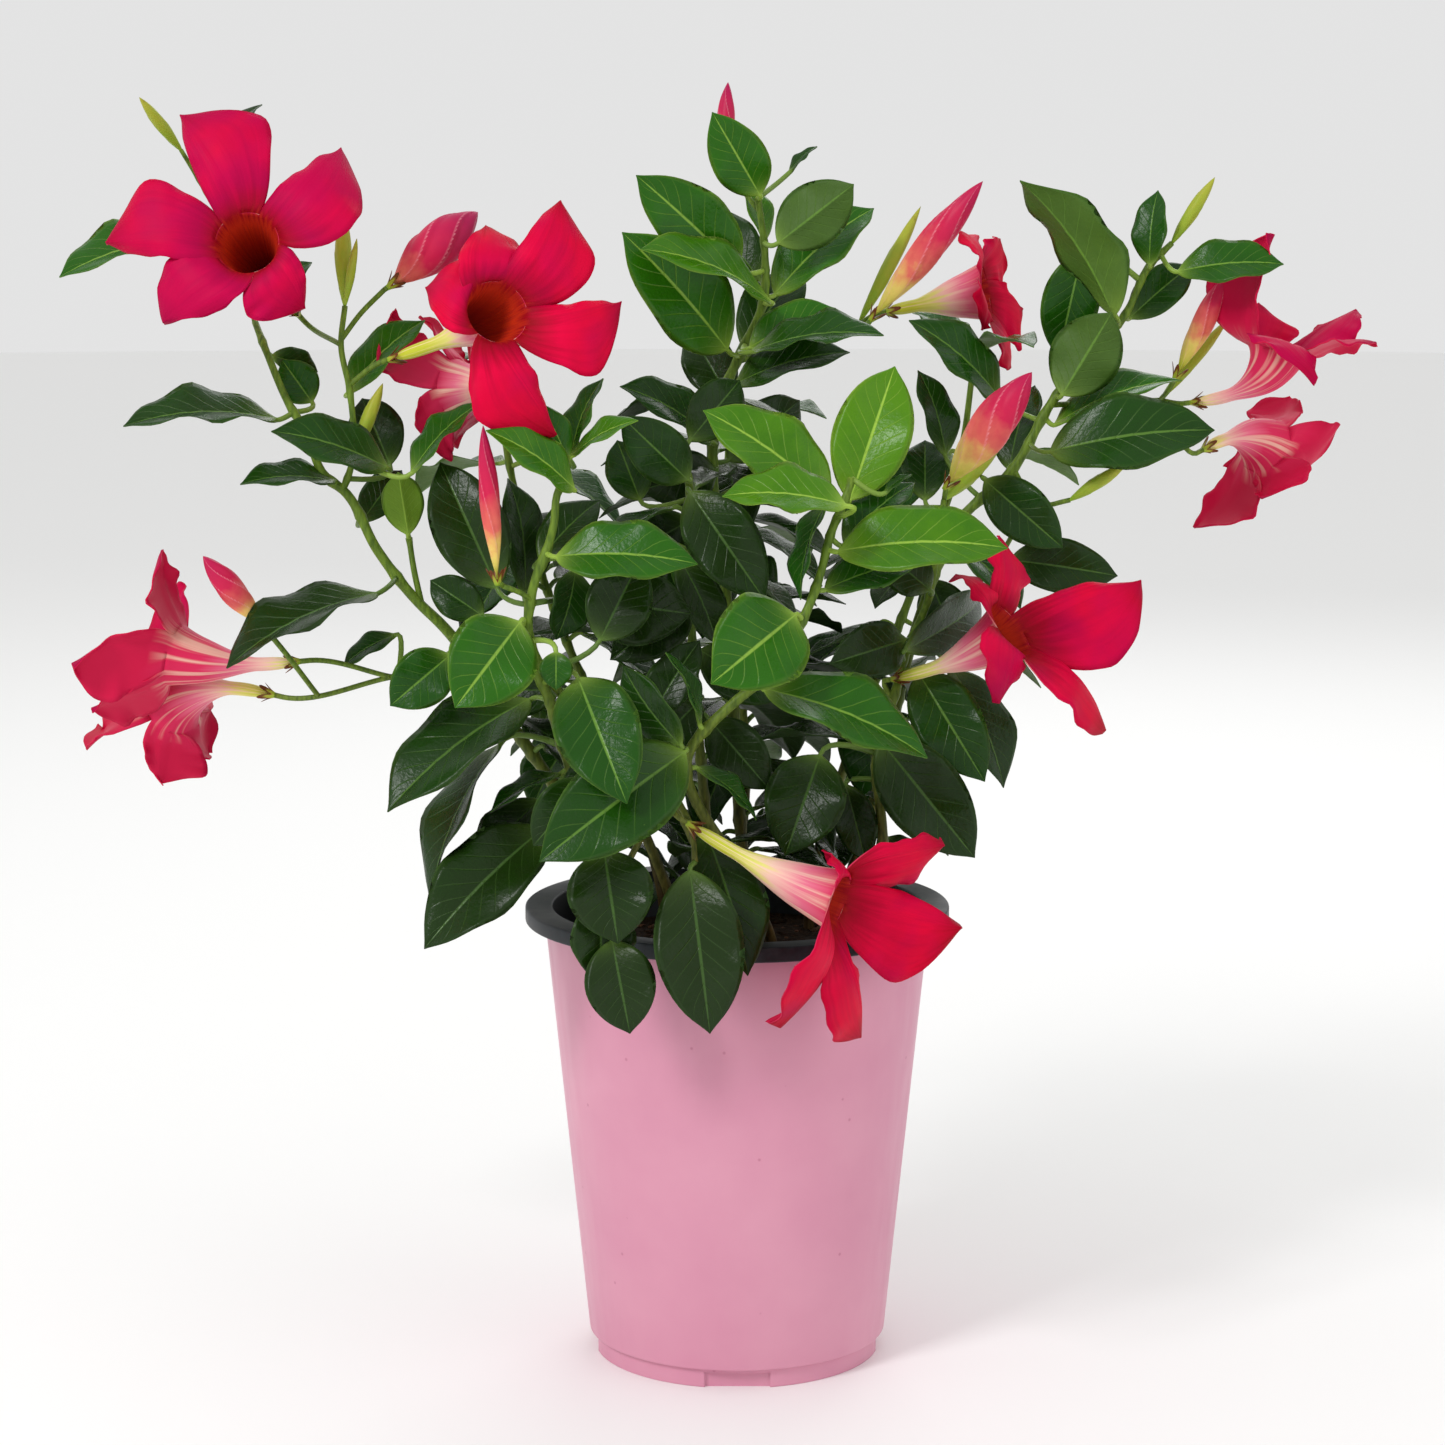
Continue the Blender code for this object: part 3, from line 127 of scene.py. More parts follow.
def make_piece(name, skins, materials):
    """One object from skins, each (grid of points, closed, material number, {attribute: vectors}).

    Points that meet at seams and poles are merged, and every face is shaded smooth.
    """
    points = [skin[0].reshape(-1, 3) for skin in skins]
    starts = np.cumsum([0] + [len(part) for part in points[:-1]])
    quads = [join_quads(*skin[0].shape[:2], skin[1]) for skin in skins]
    numbers = np.concatenate([np.full(len(part), skin[2]) for part, skin in zip(quads, skins)])
    quads = np.concatenate([part + start for part, start in zip(quads, starts)])
    mesh = bpy.data.meshes.new(name)
    mesh.vertices.add(sum(len(part) for part in points))
    mesh.vertices.foreach_set("co", np.concatenate(points).ravel())
    mesh.loops.add(quads.size)
    mesh.loops.foreach_set("vertex_index", quads.ravel().astype(np.int32))
    mesh.polygons.add(len(quads))
    mesh.polygons.foreach_set("loop_start", np.arange(0, quads.size, 4, dtype=np.int32))
    mesh.polygons.foreach_set("material_index", numbers.astype(np.int32))
    for attribute in sorted({key for skin in skins for key in skin[3]}):
        values = [np.broadcast_to(skin[3].get(attribute, 0.0), skin[0].shape).reshape(-1, 3)
                  for skin in skins]
        layer = mesh.attributes.new(attribute, "FLOAT_VECTOR", "POINT")
        layer.data.foreach_set("vector", np.concatenate(values).ravel())
    mesh.update(calc_edges=True)
    shape = bmesh.new()
    shape.from_mesh(mesh)
    bmesh.ops.remove_doubles(shape, verts=shape.verts, dist=1e-7)
    shape.to_mesh(mesh)
    shape.free()
    mesh.shade_smooth()
    for material in materials:
        mesh.materials.append(material)
    made = bpy.data.objects.new(name, mesh)
    bpy.context.scene.collection.objects.link(made)
    return made


def rounded(profile, radius):
    """The profile with each inner corner cut back by the radius and drawn as a parabola.

    It is (1-t)^2 a + 2(1-t)t b + t^2 c, where a and c are the ends of the cuts and b is the corner.
    """
    profile = np.array(profile)
    share = np.linspace(0, 1, CORNER_STEPS)[:, None]
    line = [profile[:1]]
    for before, corner, after in zip(profile[:-2], profile[1:-1], profile[2:]):
        back = before - corner
        ahead = after - corner
        start = corner + back * min(0.45, radius / np.linalg.norm(back))
        end = corner + ahead * min(0.45, radius / np.linalg.norm(ahead))
        line.append((1 - share) ** 2 * start + 2 * share * (1 - share) * corner + share ** 2 * end)
    return np.concatenate([*line, profile[-1:]])


def turned(profile, bearings):
    """Surface of revolution: each (radius, height) of the profile at each bearing round the Z axis."""
    radius = profile[:, :1]
    height = np.broadcast_to(profile[:, 1:], (len(profile), len(bearings)))
    return np.stack((radius * np.cos(bearings), radius * np.sin(bearings), height), axis=-1)


cover_profile = rounded([
    (0, RING_RECESS),
    (RING_INNER, RING_RECESS),
    (RING_INNER, 0),
    (RING_OUTER, 0),
    (RING_OUTER, NOTCH_HEIGHT - NOTCH_EDGE),
    (RING_OUTER, NOTCH_HEIGHT + NOTCH_EDGE),
    (RING_OUTER, COVER_FOOT_HEIGHT - 0.6 * MM),
    (COVER_FOOT_RADIUS, COVER_FOOT_HEIGHT),
    (COVER_TOP_RADIUS, COVER_HEIGHT),
    (COVER_TOP_RADIUS - COVER_WALL, COVER_HEIGHT),
    (COVER_FOOT_RADIUS - COVER_WALL, COVER_FLOOR),
    (0, COVER_FLOOR),
], EDGE_ROUNDING)
notch_edge = math.asin(NOTCH_HALF_WIDTH / RING_OUTER)
quarters = np.radians((0, 90, 180, 270))
edges = np.concatenate([quarters + side * notch_edge + step
                        for side in (-1, 1) for step in (-NOTCH_EDGE_TURN, NOTCH_EDGE_TURN)])
around = np.linspace(0, 2 * math.pi, POT_COLUMNS, endpoint=False)
bearings = np.unique(np.concatenate((around, edges % (2 * math.pi))))
cover_points = turned(cover_profile, bearings)
from_quarter = (bearings + math.pi / 4) % (math.pi / 2) - math.pi / 4
in_notch = (np.abs(from_quarter) < notch_edge) & (cover_points[..., 2] < NOTCH_HEIGHT)
reach = np.hypot(cover_points[..., 0], cover_points[..., 1])
pulled = np.minimum(reach, NOTCH_BACK / np.cos(from_quarter))
cover_points[..., :2] *= np.where(in_notch & (reach > 0), pulled / np.maximum(reach, 1e-9), 1)[..., None]

# Polypropylene, moulded: a satin skin, with faint clouds where it cooled unevenly, a few dark specks and
# upright scuffs that are duller than the rest.
pink_polypropylene, tree, shader = new_material("pink_polypropylene", {"Roughness": 0.4, "IOR": 1.49})
on_pot = add_node(tree, "ShaderNodeTexCoord", {}).outputs["Object"]
clouds = add_node(tree, "ShaderNodeTexNoise", {"Vector": on_pot, "Scale": 1 / CLOUD_SIZE, "Detail": 4.0})
pink = add_node(tree, "ShaderNodeValToRGB", {"Fac": clouds.outputs["Fac"]},
                stops=((0.3, "#d08aa3"), (0.7, "#d795ab")))
specks = add_node(tree, "ShaderNodeTexVoronoi", {"Vector": on_pot, "Scale": 1 / SPECK_SPACING})
speck = add_node(tree, "ShaderNodeMapRange", {
    "Value": specks.outputs["Distance"], "From Min": 0.03, "From Max": 0.06, "To Min": 0.45, "To Max": 0.0})
specked = add_node(tree, "ShaderNodeMix", {
    MIX_FACTOR: speck.outputs["Result"], MIX_A: pink.outputs["Color"], MIX_B: linear("#a8506c")},
    data_type="RGBA")
tree.links.new(specked.outputs[MIX_RESULT], shader.inputs["Base Color"])
along_wall = add_node(tree, "ShaderNodeMapping", {"Vector": on_pot, "Scale": (1, 1, 0.12)})
scuffs = add_node(tree, "ShaderNodeTexNoise", {
    "Vector": along_wall.outputs["Vector"], "Scale": 1 / SCUFF_WIDTH, "Detail": 5.0})
dullness = add_node(tree, "ShaderNodeMapRange", {
    "Value": scuffs.outputs["Fac"], "From Min": 0.35, "From Max": 0.7, "To Min": 0.34, "To Max": 0.48})
tree.links.new(dullness.outputs["Result"], shader.inputs["Roughness"])
grain = add_node(tree, "ShaderNodeTexNoise", {"Vector": on_pot, "Scale": 1 / SKIN_GRAIN, "Detail": 2.0})
skin = add_node(tree, "ShaderNodeBump", {
    "Height": grain.outputs["Fac"], "Strength": 0.12, "Distance": 0.1 * MM})
tree.links.new(skin.outputs["Normal"], shader.inputs["Normal"])

cover = make_piece("cover_pot_moulding", [(cover_points, True, 0, {})], [pink_polypropylene])
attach(cover, "root")
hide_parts("cover_pot")


# Nursery pot. The thin black pot that the plant grew in hangs inside the cover pot by its turned-down lip.
# It is moulded polypropylene too, blown thinner, with a bluish sheen painted into its colour as lighter patches
# all over.

GROW_LIP_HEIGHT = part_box("grow_pot")[1].z
GROW_LIP_RADIUS = 85.0 * MM
LIP_DROP = 6.0 * MM
LIP_THICKNESS = 1.6 * MM
GROW_WALL = 1.2 * MM
GROW_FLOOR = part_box("grow_pot")[0].z
POT_GAP = 0.6 * MM
# Size of the lighter patches of painted sheen on the black pot.
SHEEN_PATCH_SIZE = 9 * MM

taper = (COVER_TOP_RADIUS - COVER_FOOT_RADIUS) / (COVER_HEIGHT - COVER_FOOT_HEIGHT)
under_lip = GROW_LIP_HEIGHT - LIP_THICKNESS
grow_top = COVER_TOP_RADIUS - COVER_WALL - POT_GAP
grow_foot = grow_top - taper * (under_lip - GROW_FLOOR)
lip_inside = GROW_LIP_RADIUS - LIP_THICKNESS
grow_profile = rounded([
    (0, GROW_FLOOR),
    (grow_foot, GROW_FLOOR),
    (grow_top, under_lip),
    (lip_inside, under_lip),
    (lip_inside, GROW_LIP_HEIGHT - LIP_DROP),
    (GROW_LIP_RADIUS, GROW_LIP_HEIGHT - LIP_DROP),
    (GROW_LIP_RADIUS, GROW_LIP_HEIGHT),
    (grow_top - GROW_WALL, GROW_LIP_HEIGHT),
    (grow_foot - GROW_WALL, GROW_FLOOR + GROW_WALL),
    (0, GROW_FLOOR + GROW_WALL),
], 2 * EDGE_ROUNDING)
grow_points = turned(grow_profile, around)

# Polypropylene, moulded thin and black: a soft shine, and lighter bluish grey patches of painted sheen, which
# are also rougher.
black_polypropylene, tree, shader = new_material("black_polypropylene", {
    "Roughness": 0.42, "Specular IOR Level": 0.35})
on_pot = add_node(tree, "ShaderNodeTexCoord", {}).outputs["Object"]
sheen_patches = add_node(tree, "ShaderNodeTexNoise", {
    "Vector": on_pot, "Scale": 1 / SHEEN_PATCH_SIZE, "Detail": 6.0, "Roughness": 0.7})
# Painted sheen: in the patches the black turns to a lighter bluish grey.
black = add_node(tree, "ShaderNodeValToRGB", {"Fac": sheen_patches.outputs["Fac"]},
                 stops=((0.42, "#0a1016"), (0.85, "#2c353b")))
tree.links.new(black.outputs["Color"], shader.inputs["Base Color"])
dullness = add_node(tree, "ShaderNodeMapRange", {
    "Value": sheen_patches.outputs["Fac"], "To Min": 0.3, "To Max": 0.65})
tree.links.new(dullness.outputs["Result"], shader.inputs["Roughness"])

grow = make_piece("nursery_pot_moulding", [(grow_points, True, 0, {})], [black_polypropylene])
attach(grow, "root")
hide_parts("grow_pot")


# Potting mix. Peat, fine bark and a few coir crumbs fill the nursery pot to a finger's width below its lip.
# It is loose and moist, so it is lumpy, dark and dull.

SOIL_SIDES = 120
SOIL_RINGS = 70
CRUMB_COUNT = 420
BARK_SHARE = 0.25
CRUMB_SIZES = (0.7 * MM, 2.6 * MM)
CRUMB_MARGIN = 4 * MM
LUMP_HEIGHT = 0.9 * MM
LUMP_WIDTH = 7 * MM
SOIL_DISH = 3 * MM
SOIL_CLEARANCE = 0.4 * MM
PEAT_GRAIN = 1.5 * MM
BARK_STREAK = 0.8 * MM

soil_low, soil_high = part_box("soil")
soil_radius = soil_high.x
soil_foot = soil_radius - taper * (soil_high.z - soil_low.z)
ring = np.linspace(1, 0, SOIL_RINGS)
soil_bearings = np.linspace(0, 2 * math.pi, SOIL_SIDES, endpoint=False)
soil_profile = np.concatenate((
    [(0, soil_low.z), (soil_foot - SOIL_CLEARANCE, soil_low.z)],
    np.stack((ring * (soil_radius - SOIL_CLEARANCE), soil_high.z - SOIL_DISH * ring ** 2), axis=1),
))
soil_points = turned(soil_profile, soil_bearings)
across_soil = soil_points[..., 0] / LUMP_WIDTH
along_soil = soil_points[..., 1] / LUMP_WIDTH
broad = np.sin(across_soil * 1.7 + 2 * np.sin(along_soil))
broad = broad * np.sin(along_soil * 2.1 + np.sin(across_soil * 1.3))
lumps = broad + 0.6 * np.sin(across_soil * 4.3 + along_soil) * np.sin(along_soil * 5.1 - across_soil)
on_top = (np.arange(len(soil_profile)) > 2)[:, None]
soil_points[..., 2] += np.where(on_top, lumps * LUMP_HEIGHT - LUMP_HEIGHT, 0)

chance = np.random.default_rng(11)
crumb_rows = np.linspace(0, math.pi, 5)[:, None]
crumb_columns = np.linspace(0, 2 * math.pi, 6, endpoint=False)[None, :]
crumb_ball = np.stack((np.sin(crumb_rows) * np.cos(crumb_columns),
                       np.sin(crumb_rows) * np.sin(crumb_columns),
                       -np.cos(crumb_rows) * np.ones_like(crumb_columns)), axis=-1)
soil_skins = [(soil_points, True, 0, {})]
for _ in range(CRUMB_COUNT):
    crumb_reach = (soil_radius - CRUMB_MARGIN) * math.sqrt(chance.random())
    crumb_bearing = chance.random() * 2 * math.pi
    length = chance.uniform(*CRUMB_SIZES)
    crumb_size = length * np.array((1, chance.uniform(0.4, 1), chance.uniform(0.3, 0.6)))
    turn = chance.random() * math.pi
    cosine, sine = math.cos(turn), math.sin(turn)
    crumb = crumb_ball * crumb_size * chance.uniform(0.75, 1.2, (*crumb_ball.shape[:2], 1))
    crumb[0] = crumb[0].mean(axis=0)
    crumb[-1] = crumb[-1].mean(axis=0)
    crumb = crumb @ np.array(((cosine, -sine, 0), (sine, cosine, 0), (0, 0, 1)))
    crumb_x = crumb_reach * math.cos(crumb_bearing)
    crumb_y = crumb_reach * math.sin(crumb_bearing)
    crumb_height = soil_high.z - SOIL_DISH * (crumb_reach / soil_radius) ** 2 - LUMP_HEIGHT
    soil_skins.append((crumb + (crumb_x, crumb_y, crumb_height), True, int(chance.random() < BARK_SHARE), {}))

# Moist peat: nearly black brown, with grains of a millimetre and no shine.
moist_peat, tree, shader = new_material("moist_peat", {"Roughness": 0.95, "Specular IOR Level": 0.2})
on_soil = add_node(tree, "ShaderNodeTexCoord", {}).outputs["Object"]
grains = add_node(tree, "ShaderNodeTexNoise", {"Vector": on_soil, "Scale": 1 / PEAT_GRAIN, "Detail": 4.0})
brown = add_node(tree, "ShaderNodeValToRGB", {"Fac": grains.outputs["Fac"]},
                 stops=((0.3, "#1a110b"), (0.6, "#3a281b"), (0.75, "#5a4230")))
tree.links.new(brown.outputs["Color"], shader.inputs["Base Color"])
rough = add_node(tree, "ShaderNodeBump", {
    "Height": grains.outputs["Fac"], "Strength": 0.8, "Distance": 0.6 * MM})
tree.links.new(rough.outputs["Normal"], shader.inputs["Normal"])

# Bark fines: reddish brown chips with streaks a few tenths of a millimetre wide.
bark_fines, tree, shader = new_material("bark_fines", {"Roughness": 0.85})
on_bark = add_node(tree, "ShaderNodeTexCoord", {}).outputs["Object"]
streaks = add_node(tree, "ShaderNodeTexNoise", {"Vector": on_bark, "Scale": 1 / BARK_STREAK, "Detail": 3.0})
chip = add_node(tree, "ShaderNodeValToRGB", {"Fac": streaks.outputs["Fac"]},
                stops=((0.3, "#3b2317"), (0.7, "#7a5338")))
tree.links.new(chip.outputs["Color"], shader.inputs["Base Color"])

potting_mix = make_piece("potting_mix", soil_skins, [moist_peat, bark_fines])
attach(potting_mix, "root")
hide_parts("soil")


# Leafy shoots. Each shoot is one plant body: a twining stem, woody at the soil and green above, with
# petioles, glossy elliptic leaves, flower stalks, sepals and green buds. Old leaves are dark and young ones
# lime.

# The photograph's camera, which turns the pixels in the tables below into places.
EYE = np.array((-0.0059, -1.371, 0.466))
EYE_PITCH = math.radians(8.7)
PHOTO_FOCAL_PX = 3480.0
PHOTO_CENTRE_PX = 722.5
POT_AXIS_PX = 737.0
FAN_TURN = 0.065
TOP, UNDER = 1, -1
LOBES = 5


def place(px, py, depth):
    """The place at a pixel of the photograph and a depth: the pixel's ray, cut by the upright plane there.

    The plant's fan is turned a little about the pots' axis, so the depth grows by FAN_TURN millimetres for
    each pixel to the right of the axis.
    """
    depth = (depth + FAN_TURN * (px - POT_AXIS_PX)) * MM
    right = (px - PHOTO_CENTRE_PX) / PHOTO_FOCAL_PX
    up = (PHOTO_CENTRE_PX - py) / PHOTO_FOCAL_PX
    forward = math.cos(EYE_PITCH) + up * math.sin(EYE_PITCH)
    rise = up * math.cos(EYE_PITCH) - math.sin(EYE_PITCH)
    reach = (depth - EYE[1]) / forward
    return np.array((EYE[0] + reach * right, depth, EYE[2] + reach * rise))


def mm(x, y, z):
    """The place at three coordinates in millimetres."""
    return np.array((x, y, z)) * MM


def unit(vector):
    """Each vector divided by its own length."""
    return vector / np.linalg.norm(vector, axis=-1, keepdims=True)


# Stems of each shoot: foot in the soil (x, y in mm), then (start radius, end radius, places).
SHOOTS = {
    "shoot_left": {
        "foot": (-44, -4),
        "stems": [
            (3.0, 1.5, [mm(-62, -10, 215), mm(-92, -16, 262), place(437, 620, -18), place(422, 606, -18),
                        place(378, 551, -16), place(343, 490, -12), place(326, 477, -12),
                        place(305, 430, -10), place(290, 406, -8), place(267, 353, -4),
                        place(255, 322, 10)]),
            (1.5, 1.3, [place(422, 606, -18), place(414, 570, -16), place(409, 538, -12)]),
            (1.5, 1.3, [place(343, 490, -12), place(351, 467, -16), place(350, 392, -18),
                        place(341, 345, -16), place(345, 306, -14)]),
            (1.3, 1.0, [place(255, 322, 10), place(240, 262, 38), place(206, 192, 38), place(181, 150, 30)]),
            (1.2, 1.2, [place(341, 340, -16), place(362, 312, -10), place(384, 290, -8)]),
        ],
    },
    "shoot_left_front": {
        "foot": (-22, -34),
        "stems": [
            (2.6, 1.5, [mm(-34, -46, 215), mm(-58, -56, 262), place(528, 624, -62), place(536, 578, -64),
                        place(546, 553, -64), place(554, 523, -64), place(557, 495, -63),
                        place(567, 473, -62), place(566, 456, -61)]),
            (1.2, 1.2, [place(567, 473, -62), place(545, 428, -48), place(520, 402, -32)]),
            (1.2, 1.2, [place(534, 603, -63), place(521, 593, -67), place(503, 586, -70)]),
        ],
    },
    "shoot_front": {
        "foot": (14, -46),
        "stems": [
            (2.8, 1.5, [mm(2, -62, 205), place(690, 750, -76), place(736, 701, -80), place(759, 682, -80),
                        place(805, 615, -76), place(820, 575, -74), place(832, 530, -72),
                        place(845, 500, -70), place(852, 478, -69)]),
        ],
    },
    "shoot_top": {
        "foot": (4, 4),
        "stems": [
            (3.2, 1.5, [mm(0, 10, 230), mm(-4, 16, 300), place(722, 395, 20), place(745, 345, 20),
                        place(763, 303, 20), place(765, 257, 20), place(758, 198, 20)]),
            (1.5, 1.2, [place(740, 360, 20), place(800, 345, 34), place(858, 325, 40)]),
            (1.2, 1.1, [place(762, 215, 20), place(738, 186, 26), place(725, 175, 27)]),
        ],
    },
    "shoot_right": {
        "foot": (42, 8),
        "stems": [
            (3.0, 1.4, [mm(56, 12, 225), mm(74, 12, 300), place(960, 520, 12), place(1013, 469, 8),
                        place(1050, 405, 8), place(1075, 370, 8), place(1125, 315, 8), place(1150, 265, 10),
                        place(1172, 243, 10)]),
            (1.4, 1.2, [place(1050, 405, 8), place(1110, 402, 24), place(1160, 400, 30)]),
            (1.2, 1.2, [place(1013, 469, 8), place(1040, 505, -2), place(1070, 500, -8)]),
        ],
    },
    "shoot_right_low": {
        "foot": (44, -22),
        "stems": [
            (2.8, 1.4, [mm(56, -30, 205), place(880, 735, -34), place(893, 700, -34), place(905, 655, -28),
                        place(928, 600, -22), place(938, 540, -16), place(944, 500, -13)]),
        ],
    },
    "shoot_low_left": {
        "foot": (-42, -30),
        "stems": [
            (2.8, 1.3, [mm(-50, -38, 210), place(560, 740, -54), place(545, 690, -56), place(515, 648, -54),
                        place(470, 645, -44), place(430, 665, -34), place(392, 677, -24)]),
        ],
    },
    "shoot_skirt": {
        "foot": (-6, -58),
        "stems": [
            (2.6, 1.5, [mm(-10, -64, 205), place(672, 790, -72), place(664, 745, -72),
                        place(655, 700, -68)]),
            (1.6, 1.2, [place(672, 790, -72), place(640, 840, -82), place(617, 890, -90),
                        place(610, 925, -94)]),
            (1.6, 1.2, [place(672, 790, -72), place(692, 832, -84), place(695, 862, -88)]),
        ],
    },
    "shoot_mid": {
        "foot": (-8, -18),
        "stems": [
            (2.8, 1.5, [mm(-14, -24, 240), mm(-18, -28, 300), place(690, 492, -30), place(684, 450, -28)]),
        ],
    },
    "shoot_back_left": {
        "foot": (-30, 34),
        "stems": [(2.8, 1.4, [mm(-48, 48, 230), mm(-74, 60, 290), mm(-92, 65, 345), mm(-100, 67, 392)])],
    },
    "shoot_back_right": {
        "foot": (30, 36),
        "stems": [(2.8, 1.4, [mm(46, 50, 235), mm(72, 62, 300), mm(92, 68, 355), mm(98, 70, 398)])],
    },
    "shoot_back": {
        "foot": (0, 52),
        "stems": [(2.6, 1.4, [mm(4, 62, 225), mm(0, 69, 275), mm(-6, 74, 325), mm(-2, 77, 372)])],
    },
}

